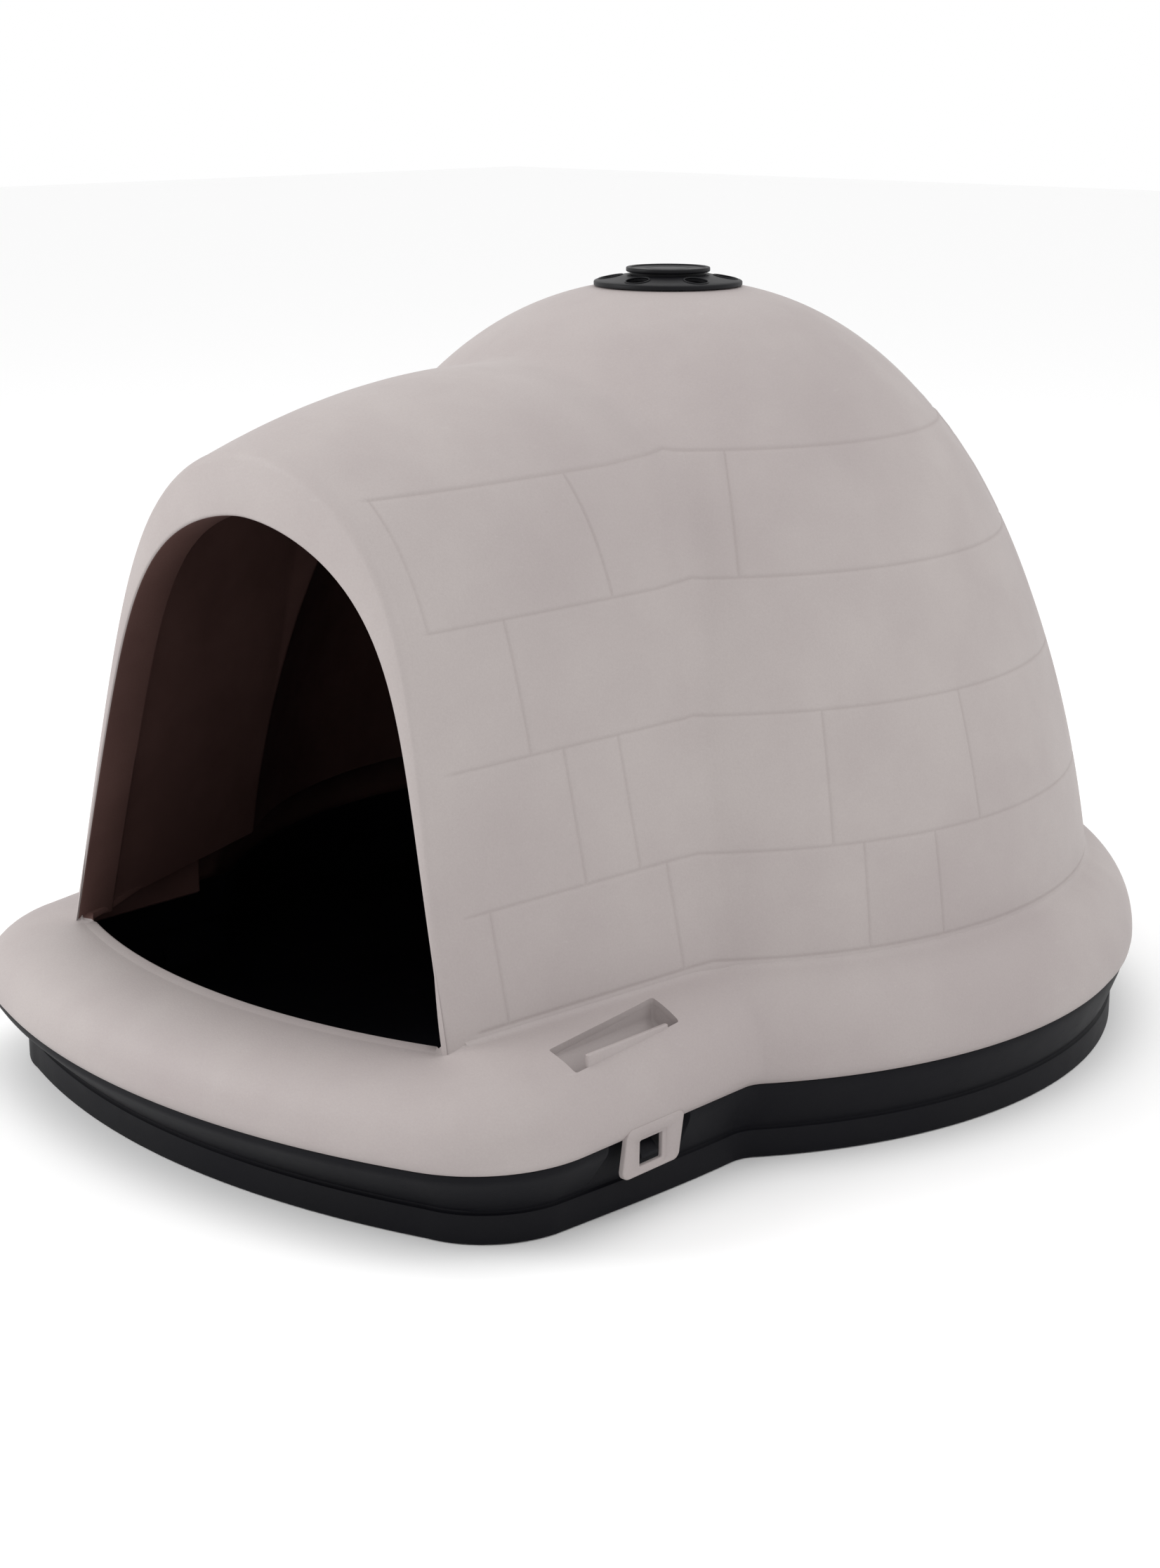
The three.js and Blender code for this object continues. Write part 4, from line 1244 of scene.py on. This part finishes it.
@dataclass
class Skirt:
    """The shell's wide rounded skirt, which turns up into the walls and in over the door sill."""

    outline: Outline
    edge_z: float = 66.6
    bulge_z: float = 78.0
    bulge: float = 5.2
    wall: float = 5.0
    steps: int = 20
    painted_shade_from: float = -520.0
    bead: float = 2.2
    sill_wear: float = 3.5
    low_points: int = 3
    end_points: int = 6
    roll_points: int = 3

    def top_curve(self, station: Station) -> list[tuple[float, float]]:
        """The shoulder's outer curve."""
        return shoulder((-self.bulge, self.bulge_z), (station.width, station.foot_z), station.fullness,
                        self.steps)

    def height_at(self, x: float, y: float) -> float:
        """Height of the shoulder beside the hood.

        Args:
            x: distance from the middle plane.
            y: station.

        Returns:
            The height.
        """
        flank = [station for station in self.outline.stations() if 2 <= station.place <= 3]
        near = min(flank, key=lambda station: abs(station.edge[1] - y))
        curve = self.top_curve(near)
        across = (near.edge[0] - x) / abs(near.inward[0])
        return float(np.interp(across, [u for u, _ in curve], [z for _, z in curve]))

    def section(self, station: Station) -> list[tuple[float, float]]:
        """The skirt's closed section at a station.

        Args:
            station: the place.

        Returns:
            (distance in, height) points.
        """
        width, foot, flange = station.width, station.foot_z, station.flange
        curve = self.top_curve(station)
        stop = [(u, z) for u, z in curve if u < width - 7]
        trimmed = self.resample(stop + [(width - 6, float(np.interp(width - 6, *zip(*curve))))], self.steps)
        walled = smoothstep(station.place, 1.25, 1.8)
        lean = blend(0.245, 0.15, smoothstep(station.place, 3, 4))
        start = trimmed[-1]
        top = (width + lean * 4 + 0.5, foot + 4)
        turn_up = [self.bezier(start, (width, foot), top, t) for t in (0.25, 0.5, 0.75, 1.0)]
        turn_up += [(width + 2.6, foot + 4.2), (width + 3.0, foot)]
        reach = [blend(start[0], width + 6, t) for t in (0.25, 0.5, 0.7, 0.8, 0.9, 1.0)]
        level = [(u, float(np.interp(u, *zip(*curve)))) for u in reach]
        ends = [(blend(a[0], b[0], walled), blend(a[1], b[1], walled)) for a, b in zip(level, turn_up)]
        bead = self.bead * (1 - smoothstep(station.place, 1.0, 1.4))
        rim = [(width + max(flange - 3, 3.1), foot + bead),
               (width + max(flange - 0.8, 3.3), foot - 0.8 + bead),
               (width + max(flange, 3.6), foot - 3 + bead / 2), (width + max(flange, 3.6), foot - 5.4),
               (width + max(flange - 1, 2.8), foot - 6)]
        under = shoulder((self.wall - self.bulge, self.bulge_z), (width - 2, foot - self.wall),
                         station.fullness - 0.05, self.steps)
        low = [(0.9, self.edge_z), (-0.3, self.edge_z + 0.5),
               (-0.8 * self.bulge, (self.edge_z + self.bulge_z) / 2)]
        return low + trimmed + ends + rim + under[::-1] + [(self.wall, self.edge_z)]

    @staticmethod
    def bezier(a: tuple, b: tuple, c: tuple, t: float) -> tuple[float, float]:
        """A point on a quadratic curve."""
        return tuple((1 - t) ** 2 * a[k] + 2 * t * (1 - t) * b[k] + t * t * c[k] for k in (0, 1))

    @staticmethod
    def resample(points: list[tuple[float, float]], count: int) -> list[tuple[float, float]]:
        """The same curve with a set number of evenly spaced points.

        Args:
            points: the curve.
            count: number of points wanted.

        Returns:
            The new points.
        """
        line = np.array(points)
        run = np.concatenate([[0], np.cumsum(np.linalg.norm(np.diff(line, axis=0), axis=1))])
        wanted = np.linspace(0, run[-1], count)
        return [(float(np.interp(s, run, line[:, 0])), float(np.interp(s, run, line[:, 1]))) for s in wanted]

    def doorway_half(self) -> float:
        """Half width of the doorway at the sill."""
        return self.outline.form.door_at(self.outline.form.sill_z)

    def build(self, finish: bpy.types.Material, lining: bpy.types.Material,
              grips: Sequence["HandGrip"]) -> bpy.types.Object:
        """Builds the skirt with an opening for each hand grip.

        Args:
            finish: material of the outer face.
            lining: material of the inner face, painted dark brown as shade.
            grips: the hand grips.

        Returns:
            The skirt as one object.
        """
        skin = Skin()
        points = self.outline.sweep(self.section)
        inside = self.low_points + self.steps + self.end_points + self.roll_points
        wear = np.zeros(points.shape[:2])
        sill = np.abs(points[:, inside, 0]) < self.doorway_half()
        wear[sill, inside - 2] = self.sill_wear
        numbers = skin.grid(points, wear)
        skin.quads(numbers[:, :inside], loop_rows=True)
        # Aft of the doorway's corners the rim is hidden by the walls, so it takes the inside's painted shade.
        for row in np.flatnonzero(points[:, 0, 1] > self.painted_shade_from):
            for column in range(inside - 1 - self.roll_points, inside - 1):
                skin.slots[row * (inside - 1) + column] = INSIDE
        # The skirt's underside takes the painted shade.
        skin.quads(numbers[:, inside - 1:], slot=INSIDE, loop_rows=True)
        skin.quads(numbers[:, [-1, 0]], loop_rows=True)
        body = skin.piece("shell_skirt", [finish, lining])
        for grip in grips:
            body = cut(body, grip.cutter(finish))
        tidy_mesh(body.data, 40.0)
        return body


@dataclass
class HandGrip:
    """A pocket let into the skirt's shoulder, with a plate standing before the fingers."""

    side: Side
    skirt: Skirt
    centre_y: float = -386.0
    width: float = 122.0
    plate_width: float = 89.0
    inner_x: float = 277.0
    outer_x: float = 312.0
    floor_z: float = 102.0
    wall: float = 3.5
    rise: float = 6.5
    back_rise: float = 34.0
    cut_below: float = 20.0
    cut_top: float = 220.0
    cut_round: float = 2.2
    plate_round: float = 1.1

    def _ends(self, x0: float, x1: float) -> tuple[float, float]:
        """Two distances from the middle plane put on this side, lower first."""
        return tuple(sorted((x0 * self.side.value, x1 * self.side.value)))

    def cutter(self, finish: bpy.types.Material) -> bpy.types.Object:
        """The shape taken out of the skirt.

        Args:
            finish: the material.

        Returns:
            The cutting shape.
        """
        x0, x1 = self._ends(self.inner_x + self.wall, self.outer_x - self.wall)
        half = self.width / 2 - self.wall
        low = (x0, self.centre_y - half, self.floor_z - self.cut_below)
        high = (x1, self.centre_y + half, self.cut_top)
        return rounded_box(low, high, self.cut_round, 3, "grip_cutter", finish)

    def loop(self, grow: float, radius: float) -> list[tuple[float, float]]:
        """A rounded rectangle round the pocket.

        Args:
            grow: how far it stands outside the pocket.
            radius: its corners' radius.

        Returns:
            The points.
        """
        x0, x1 = self.inner_x + self.wall - grow, self.outer_x - self.wall + grow
        y0 = self.centre_y - self.width / 2 + self.wall - grow
        y1 = self.centre_y + self.width / 2 - self.wall + grow
        found = []
        for cx, cy, start in ((x1, y1, 0), (x0, y1, 90), (x0, y0, 180), (x1, y0, 270)):
            sx, sy = (-1 if cx == x1 else 1), (-1 if cy == y1 else 1)
            for i in range(5):
                a = math.radians(start + i * 22.5)
                found.append((cx + sx * radius + radius * math.cos(a),
                              cy + sy * radius + radius * math.sin(a)))
        return found

    def tray(self, finish: bpy.types.Material, lining: bpy.types.Material) -> bpy.types.Object:
        """The pocket's walls and floor, hung under the shoulder.

        Args:
            finish: material of the inside.
            lining: material of the hidden faces, painted dark brown as shade.

        Returns:
            The pocket as one object.
        """
        skin = Skin()
        outer, inner = self.loop(2.8, 3.0), self.loop(0.15, 2.2)

        def top(points: list[tuple[float, float]]) -> list[tuple[float, float, float]]:
            """The loop set inside the skirt's thickness."""
            return [(x, y, self.skirt.height_at(x, y) - 3.0) for x, y in points]

        def scoop(points: list[tuple[float, float]], share: float) -> list[tuple[float, float, float]]:
            """The loop part of the way down, its inner side drawn out into a sloping back wall.

            Args:
                points: the loop.
                share: share of the way down.

            Returns:
                The points.
            """
            found = []
            for x, y in points:
                across = (self.outer_x - x) / (self.outer_x - self.inner_x)
                low = self.floor_z + 3.5 + self.back_rise * max(0.0, across - 0.35)
                found.append((x, y, blend(self.skirt.height_at(x, y) - 3.0, low, share)))
            return found

        rings = [[(x, y, self.floor_z) for x, y in self.loop(1.2, 2.4)],
                 [(x, y, self.floor_z + 1.6) for x, y in outer], top(outer), top(inner),
                 scoop(inner, 0.8), scoop(self.loop(-0.9, 2.0), 0.95), scoop(self.loop(-2.4, 3.0), 1.0),
                 scoop(self.loop(-9.0, 3.0), 1.0)]
        numbers = skin.grid(np.array(rings) * (self.side.value, 1, 1))
        skin.quads(numbers[:3], slot=INSIDE, loop_columns=True)
        skin.quads(numbers[2:], loop_columns=True)
        skin.face(numbers[0], slot=INSIDE)
        skin.face(numbers[-1])
        return skin.piece(f"grip_pocket_{self.side.name.lower()}", [finish, lining], 40.0)

    def plate(self, finish: bpy.types.Material) -> bpy.types.Object:
        """The plate before the fingers.

        Args:
            finish: the material.

        Returns:
            The plate.
        """
        x0, x1 = self._ends(self.outer_x - 2 * self.wall, self.outer_x - self.wall + 0.4)
        top = self.skirt.height_at(self.outer_x - self.wall, self.centre_y) + self.rise
        half = self.plate_width / 2
        low, high = (x0, self.centre_y - half, self.floor_z + 2), (x1, self.centre_y + half, top)
        return rounded_box(low, high, self.plate_round, 3, f"grip_plate_{self.side.name.lower()}", finish)


@dataclass
class LatchTab:
    """A tab that hangs from the skirt over the tub, with a window for the catch."""

    side: Side
    centre_y: float = -386.0
    width: float = 64.0
    top_z: float = 75.0
    bottom_z: float = 33.0
    face_x: float = 332.8
    wall: float = 4.5
    window: tuple = (25.0, 21.0)
    window_z: float = 50.0
    corner: float = 7.0
    edge: float = 1.1

    def ring(self, half_w: float, low: float, high: float, radius: float,
             x: float) -> list[tuple[float, float, float]]:
        """A rounded rectangle in the tab's plane.

        Args:
            half_w: half its width.
            low: its lowest height.
            high: its highest height.
            radius: its corners' radius.
            x: where it stands.

        Returns:
            The points.
        """
        found = []
        for sy, z, start in ((1, high, 0), (-1, high, 90), (-1, low, 180), (1, low, 270)):
            cz = z - radius if z == high else z + radius
            for i in range(7):
                a = math.radians(start + i * 15)
                found.append((x, self.centre_y + sy * (half_w - radius) + radius * math.cos(a),
                              cz + radius * math.sin(a)))
        return found

    def build(self, finish: bpy.types.Material) -> bpy.types.Object:
        """Builds the tab as one closed frame.

        Args:
            finish: the material.

        Returns:
            The tab.
        """
        half, (w, h), e = self.width / 2, self.window, self.edge
        low, high = self.window_z - h / 2, self.window_z + h / 2
        face, back = self.face_x, self.face_x - self.wall
        rings = []
        for grow, x in ((0, back), (0, face - e), (-0.3 * e, face - 0.3 * e), (-e, face)):
            rings.append(self.ring(half + grow, self.bottom_z - grow, self.top_z + grow,
                                   self.corner + grow, x))
        for grow, x in ((4.6, face), (4.0, face - 0.5), (3.4, face - 0.9), (e, face - 0.9),
                        (0.3 * e, face - 1.2), (0, face - e - 0.9), (0, back)):
            rings.append(self.ring(w / 2 + grow, low - grow, high + grow, 1.2 + grow, x))
        points = np.array(rings)
        rise = np.clip((points[..., 2] - 57) / 14, 0, 1)
        points[..., 0] += 4.4 * rise * rise * (3 - 2 * rise)
        skin = Skin()
        numbers = skin.grid(points * (self.side.value, 1, 1))
        skin.quads(numbers, loop_rows=True, loop_columns=True)
        return skin.piece(f"latch_tab_{self.side.name.lower()}_moulded", [finish], 50.0)


@dataclass
class BaseTub:
    """The tub's wall: foot ring, step, sloping band, ledge under the skirt and rim inside it."""

    outline: Outline
    recess_body: float = 11.4
    recess_front: float = 32.0
    ledge_z: float = 66.3
    rim_z: float = 100.0
    latch_y: float = -386.0
    latch_half: float = 44.0
    latch_recess: float = 9.0

    def section(self, station: Station) -> list[tuple[float, float]]:
        """The tub wall's closed section at a station.

        Args:
            station: the place.

        Returns:
            (distance in, height) points.
        """
        y = float(station.edge[1])
        foot = blend(self.recess_body, self.recess_front, smoothstep(-y, 280, 610))
        back = 0.0
        if 2 <= station.place <= 3:
            away = smoothstep(abs(y - self.latch_y), self.latch_half - 2, self.latch_half + 2)
            back = self.latch_recess * (1 - away)
            back = min(back, foot - 2)
        top, face = self.ledge_z, 1 + back
        rim = self.rim_z
        ring = [(foot + 1.6, 0), (foot + 0.4, 0.5), (foot, 1.8), (foot, 21.8), (foot + 0.4, 23.4)]
        step = [(foot + 2.2, 24.2), (foot + 2.9, 24.9), (foot + 2.8, 26.2)]
        band = [(blend(foot + 2, face, share), z) for share, z in ((0.1, 30), (0.5, 43), (0.92, 57))]
        lip = [(face + 0.2, 60.6), (face, 62), (face, 65.2), (face + 0.4, 66.0), (face + 1.2, top)]
        outer_rim = [(17.2, top), (18.0, top + 1), (18.0, rim - 1.2), (18.5, rim - 0.3), (19.4, rim)]
        inner_rim = [(20.8, rim), (21.6, rim - 0.3), (22, rim - 1.2), (22, 62.3)]
        inside = [(6 + back, 61.3), (foot + 7, 28), (foot + 7, 0.0)]
        return ring + step + band + lip + outer_rim + inner_rim + inside

    def build(self, finish: bpy.types.Material) -> bpy.types.Object:
        """Builds the wall as one closed ring.

        Args:
            finish: the material.

        Returns:
            The wall.
        """
        skin = Skin()
        numbers = skin.grid(self.outline.sweep(self.section))
        skin.quads(numbers, loop_rows=True, loop_columns=True)
        return skin.piece("base_tub_wall", [finish], 38.0)


@dataclass
class LatchCatch:
    """The wedge on the tub that the tab's window snaps over."""

    side: Side
    centre_y: float = -386.0
    width: float = 19.0
    low: float = 44.0
    height: float = 12.0
    wall_x: float = 322.0
    nose_x: float = 330.6

    def build(self, finish: bpy.types.Material) -> bpy.types.Object:
        """Builds the rounded wedge.

        Args:
            finish: the material.

        Returns:
            The wedge.
        """
        name = f"latch_catch_{self.side.name.lower()}_moulded"
        work = bmesh.new()
        for x, z in ((self.wall_x, self.low), (self.nose_x, self.low), (self.nose_x, self.low + 3),
                     (self.wall_x, self.low + self.height)):
            for end in (-1, 1):
                y = self.centre_y + end * self.width / 2 + DOME_AXIS_Y
                work.verts.new((x * self.side.value * MM, y * MM, z * MM))
        work.verts.ensure_lookup_table()
        v = work.verts
        work.faces.new((v[0], v[2], v[4], v[6]))
        work.faces.new((v[1], v[7], v[5], v[3]))
        for a in range(4):
            b = (a + 1) % 4
            work.faces.new((v[2 * a], v[2 * a + 1], v[2 * b + 1], v[2 * b]))
        bmesh.ops.bevel(work, geom=work.edges[:], offset=0.8 * MM, segments=3, profile=0.5, affect="EDGES")
        return finished(work, name, finish, 50.0)


# ---- roof vent ---------------------------------------------------------------------------------
def turned(name: str, profile: Sequence[tuple[float, float]], finish: bpy.types.Material,
           steps: int = 96, closed: bool = True, sharp: float = 45.0) -> bpy.types.Object:
    """A body turned about the dome's axis from (radius, height) points.

    Args:
        name: the object's name.
        profile: (radius, height) points.
        finish: its material.
        steps: facets round it.
        closed: joins the last point to the first.
        sharp: turn in degrees past which an edge is sharp.

    Returns:
        The new object.
    """
    angles = np.linspace(0, 2 * math.pi, steps, endpoint=False)
    rings = [[(r * math.cos(a), r * math.sin(a), z) for a in angles] for r, z in profile]
    skin = Skin()
    numbers = skin.grid(np.array(rings))
    skin.quads(numbers, loop_rows=closed, loop_columns=True)
    return skin.piece(name, [finish], sharp)


@dataclass
class RoofVent:
    """Vent on the crown: a conical ring with round ports, a neck and a cap with a raised rim."""

    form: Form
    hole: float = 62.3
    radius: float = 65.4
    top_z: float = 657.5
    edge_z: float = 652.5
    neck: float = 33.0
    neck_z: float = 636.0
    cap: float = 37.0
    cap_z: float = 660.0
    height: float = 664.0
    ports: int = 6
    port_radius: float = 10.5
    port_circle: float = 50.5
    port_turn: float = 10.0
    tool_z: tuple = (630.0, 690.0)
    collar_roll: float = 0.8

    def slope_z(self, radius: float) -> float:
        """Height of the ring's sloping top at a radius."""
        return float(np.interp(radius, [self.neck + 5, self.radius - 1.5], [self.top_z, self.edge_z + 0.3]))

    def ring(self, finish: bpy.types.Material) -> bpy.types.Object:
        """The ring with its ports cut through.

        Args:
            finish: the material.

        Returns:
            The ring.
        """
        inner, seat = self.neck + 0.3, self.form.dome_height(self.hole) + 0.4
        inside = self.hole - 0.6
        profile = [(inner, self.top_z - 0.6), (inner, self.top_z - 3), (self.neck + 5, self.top_z - 3),
                   (inside, self.edge_z - 2.4), (inside, seat), (self.radius - 0.7, seat),
                   (self.radius, seat + 0.6), (self.radius, self.edge_z - 1.2),
                   (self.radius - 0.4, self.edge_z - 0.4),
                   (self.radius - 1.5, self.edge_z + 0.2)]
        profile += [(r, self.slope_z(r)) for r in (60, 54, 48, 42, self.neck + 5)]
        profile.append((inner + 0.6, self.top_z))
        body = turned("vent_ring_moulded", profile, finish)
        for number in range(self.ports):
            body = cut(body, self.port_tool(number, finish))
        tidy_mesh(body.data, 45.0)
        return body

    def port_tool(self, number: int, finish: bpy.types.Material) -> bpy.types.Object:
        """The cylinder that cuts one port.

        Args:
            number: the port's number.
            finish: the material.

        Returns:
            The cutting shape.
        """
        angle = math.radians(self.port_turn - 90 + number * 360 / self.ports)
        cx, cy = self.port_circle * math.cos(angle), self.port_circle * math.sin(angle)
        around = np.linspace(0, 2 * math.pi, 40, endpoint=False)
        circle = [(cx + self.port_radius * math.cos(a), cy + self.port_radius * math.sin(a)) for a in around]
        rings = [[(x, y, z) for x, y in circle] for z in self.tool_z]
        skin = Skin()
        numbers = skin.grid(np.array(rings))
        skin.quads(numbers, loop_columns=True)
        skin.face(numbers[0])
        skin.face(numbers[1])
        return skin.piece("port_tool", [finish])

    def collars(self, finish: bpy.types.Material) -> bpy.types.Object:
        """Rolled edges round the ports, set out on a circle by Geometry Nodes.

        Args:
            finish: the material.

        Returns:
            The collars as one object.
        """
        tree = bpy.data.node_groups.new("port_collars", "GeometryNodeTree")
        face = tree.interface
        face.new_socket("Geometry", in_out="OUTPUT", socket_type="NodeSocketGeometry")
        sizes = {"Ports": self.ports, "Circle": self.port_circle * MM,
                 "Port Radius": (self.port_radius + 0.1) * MM, "Roll": self.collar_roll * MM,
                 "Height": self.slope_z(self.port_circle) * MM, "Turn": math.radians(self.port_turn - 90),
                 "Tilt": math.atan2(self.top_z - self.edge_z, self.radius - self.neck - 5)}
        sockets = {}
        for name, value in sizes.items():
            kind = "NodeSocketInt" if isinstance(value, int) else "NodeSocketFloat"
            sockets[name] = face.new_socket(name, in_out="INPUT", socket_type=kind)
        build = NodeSteps(tree)
        given = build.add("NodeGroupInput")
        circle = build.add("GeometryNodeMeshCircle", {"fill_type": "NONE"},
                           {"Vertices": given["Ports"], "Radius": given["Circle"]})
        spot = build.add("GeometryNodeInputIndex")
        step = build.add("ShaderNodeMath", {"operation": "DIVIDE"}, {0: 2 * math.pi, 1: given["Ports"]})
        along = build.add("ShaderNodeMath", {"operation": "MULTIPLY"}, {0: spot["Index"], 1: step["Value"]})
        turn = build.add("ShaderNodeCombineXYZ", None, {"Y": given["Tilt"], "Z": along["Value"]})
        path = build.add("GeometryNodeCurvePrimitiveCircle", None,
                         {"Resolution": 40, "Radius": given["Port Radius"]})
        rod = build.add("GeometryNodeCurvePrimitiveCircle", None, {"Resolution": 10, "Radius": given["Roll"]})
        collar = build.add("GeometryNodeCurveToMesh", None,
                           {"Curve": path["Curve"], "Profile Curve": rod["Curve"]})
        spread = build.add("GeometryNodeInstanceOnPoints", None, {
            "Points": circle["Mesh"], "Instance": collar["Mesh"], "Rotation": turn["Vector"]})
        raised = build.add("ShaderNodeCombineXYZ", None, {"Y": DOME_AXIS_Y * MM, "Z": given["Height"]})
        spun = build.add("ShaderNodeCombineXYZ", None, {"Z": given["Turn"]})
        moved = build.add("GeometryNodeTransform", None, {
            "Geometry": spread["Instances"], "Translation": raised["Vector"], "Rotation": spun["Vector"]})
        real = build.add("GeometryNodeRealizeInstances", None, {"Geometry": moved["Geometry"]})
        smooth = build.add("GeometryNodeSetShadeSmooth", None, {"Geometry": real["Geometry"]})
        dressed = build.add("GeometryNodeSetMaterial", None,
                            {"Geometry": smooth["Geometry"], "Material": finish})
        build.add("NodeGroupOutput", None, {"Geometry": dressed["Geometry"]})
        carrier = bpy.data.objects.new("collar_carrier", bpy.data.meshes.new("collar_carrier"))
        bpy.context.scene.collection.objects.link(carrier)
        modifier = carrier.modifiers.new("collars", "NODES")
        modifier.node_group = tree
        for name, value in sizes.items():
            modifier[sockets[name].identifier] = value
        result = baked(carrier, "vent_port_collars")
        for polygon in result.data.polygons:
            polygon.use_smooth = True
        return result

    def build(self, finish: bpy.types.Material) -> None:
        """Builds and sets down the vent's pieces.

        Args:
            finish: the material.
        """
        set_down(self.ring(finish), ["vent_ring"])
        set_down(self.collars(finish), [])
        bore, top = self.neck - 3, self.cap_z - 0.1
        profile = [(bore, self.neck_z + 0.6), (bore + 0.6, self.neck_z), (self.neck - 0.6, self.neck_z),
                   (self.neck, self.neck_z + 0.6), (self.neck, top), (bore, top)]
        neck = turned("vent_neck_moulded", profile, finish)
        set_down(neck, ["vent_neck"])
        plate, low, high = self.height - 1.3, self.cap_z, self.height
        profile = [(0.05, low), (self.cap - 1.0, low), (self.cap - 0.3, low + 0.3), (self.cap, low + 1.0),
                   (self.cap, high - 1.0), (self.cap - 0.3, high - 0.3), (self.cap - 1.0, high),
                   (self.cap - 2.6, high),
                   (self.cap - 3.2, high - 0.25), (self.cap - 3.8, plate), (20, plate), (19.4, plate - 0.35),
                   (18.2, plate - 0.35), (17.6, plate), (8, plate + 0.15), (0.05, plate + 0.2)]
        set_down(turned("vent_cap_moulded", profile, finish), ["vent_cap"])


class NodeSteps:
    """Adds geometry nodes to a tree, each wired as it is added."""

    def __init__(self, tree: bpy.types.NodeTree) -> None:
        """Works on a tree."""
        self.tree = tree

    def add(self, kind: str, settings: Optional[dict] = None, inputs: Optional[dict] = None) -> object:
        """Adds one node and returns its outputs by name.

        Args:
            kind: the node's type name.
            settings: properties set first.
            inputs: socket name or number to a value or a socket.

        Returns:
            The node's outputs.
        """
        node = self.tree.nodes.new(kind)
        for key, value in (settings or {}).items():
            setattr(node, key, value)
        for key, value in (inputs or {}).items():
            if isinstance(value, bpy.types.NodeSocket):
                self.tree.links.new(value, node.inputs[key])
            else:
                node.inputs[key].default_value = value
        return node.outputs


# ---- studio ------------------------------------------------------------------------------------
@dataclass
class Studio:
    """Pale floor, soft light and the camera."""

    distance: float = 2.3018
    azimuth: float = 41.45
    height: float = 0.837
    swing: float = 0.0336
    dip: float = 0.2732
    lens: float = 59.17
    aim: tuple = (0, 0, 0.3)
    floor_reach: float = 14.0

    def lamp(self, name: str, place: tuple, size: float, power: float) -> None:
        """One soft square lamp turned to a point.

        Args:
            name: the lamp's name.
            place: where it stands, in metres.
            size: its width in metres.
            power: its power in watts.
        """
        light = bpy.data.lights.new(name, "AREA")
        light.shape = "SQUARE"
        light.size = size
        light.energy = power
        thing = bpy.data.objects.new(name, light)
        thing.location = place
        thing.rotation_euler = (Vector(self.aim) - Vector(place)).to_track_quat("-Z", "Y").to_euler()
        bpy.context.scene.collection.objects.link(thing)

    def camera(self) -> None:
        """The camera, standing in front of the doorway's right."""
        a = math.radians(self.azimuth)
        data = bpy.data.cameras.new("camera")
        data.sensor_fit = "VERTICAL"
        data.sensor_height = 36.0
        data.sensor_width = 36.0
        data.lens = self.lens
        thing = bpy.data.objects.new("camera", data)
        back = DOME_AXIS_Y * MM - math.cos(a) * self.distance
        thing.location = (math.sin(a) * self.distance, back, self.height)
        turn = a + self.swing
        level = math.cos(self.dip)
        ahead = Vector((-math.sin(turn) * level, math.cos(turn) * level, -math.sin(self.dip)))
        thing.rotation_euler = ahead.to_track_quat("-Z", "Y").to_euler()
        bpy.context.scene.collection.objects.link(thing)
        bpy.context.scene.camera = thing

    def build(self) -> None:
        """Sets up floor, lights, world and camera."""
        mesh = bpy.data.meshes.new("studio_floor")
        reach = self.floor_reach
        corners = [(-reach, -reach, 0), (reach, -reach, 0), (reach, reach, 0), (-reach, reach, 0)]
        mesh.from_pydata(corners, [], [(0, 1, 2, 3)])
        mesh.materials.append(StudioFloor().material())
        floor = bpy.data.objects.new("studio_floor", mesh)
        bpy.context.scene.collection.objects.link(floor)
        floor.location.z = -0.0005
        world = bpy.data.worlds.new("studio")
        bpy.context.scene.world = world
        world.use_nodes = True
        backdrop = world.node_tree.nodes["Background"]
        backdrop.inputs["Color"].default_value = (1, 1, 1, 1)
        backdrop.inputs["Strength"].default_value = 1.0
        self.lamp("key", (1.9, 1.1, 2.6), 1.4, 10)
        self.lamp("fill", (-1.9, -2.4, 1.9), 1.4, 40)
        self.lamp("top", (0.2, 0.3, 3.4), 2.6, 16)
        view = bpy.context.scene.view_settings
        view.view_transform = "Standard"
        view.look = "None"
        self.camera()


def main() -> None:
    """Builds every piece in order and reports it."""
    logging.basicConfig(level=logging.INFO, format="%(name)s %(message)s")
    # lining holds the shell's inside, painted very dark brown as shade
    shell, lining, tub = ShellPlastic().material(), PaintedShadeInside().material(), TubPlastic().material()
    vent = TubPlastic(name="vent_plastic", deep=(12, 12, 15), light=(24, 24, 28), roughness=0.44).material()
    form = Form()
    outline = Outline(form)
    skirt = Skirt(outline)
    grips = [HandGrip(side, skirt) for side in Side]
    walls = ShellWalls(form).build(shell, lining)
    set_down(walls, pair("dome_lower_side", "dome_lower_rear", "dome_upper_side",
                                     "dome_upper_rear", "hood_lower_wall", "hood_upper_wall", "door_jamb")
             + ["dome_crown", "hood_roof", "door_arch"])
    set_down(skirt.build(shell, lining, grips),
             pair("skirt_corner", "skirt_flank", "skirt_side") + ["skirt_front", "skirt_rear"])
    for grip in grips:
        name = grip.side.name.lower()
        set_down(grip.tray(shell, lining), [f"hand_grip_{name}"])
        set_down(grip.plate(shell), [])
        set_down(LatchTab(grip.side).build(shell), [f"latch_tab_{name}"])
        set_down(LatchCatch(grip.side).build(tub), [f"latch_catch_{name}"])
    set_down(BaseTub(outline).build(tub),
             pair("base_wall_corner", "base_wall_flank", "base_wall_side")
             + ["base_wall_front", "base_wall_rear"])
    for name in ("floor_cabin", "floor_entrance"):
        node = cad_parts[name]
        node.data.materials.clear()
        node.data.materials.append(tub)
        LOG.info("%s: dressed", name)
    RoofVent(form).build(vent)
    Studio().build()


if __name__ == "__main__":
    main()
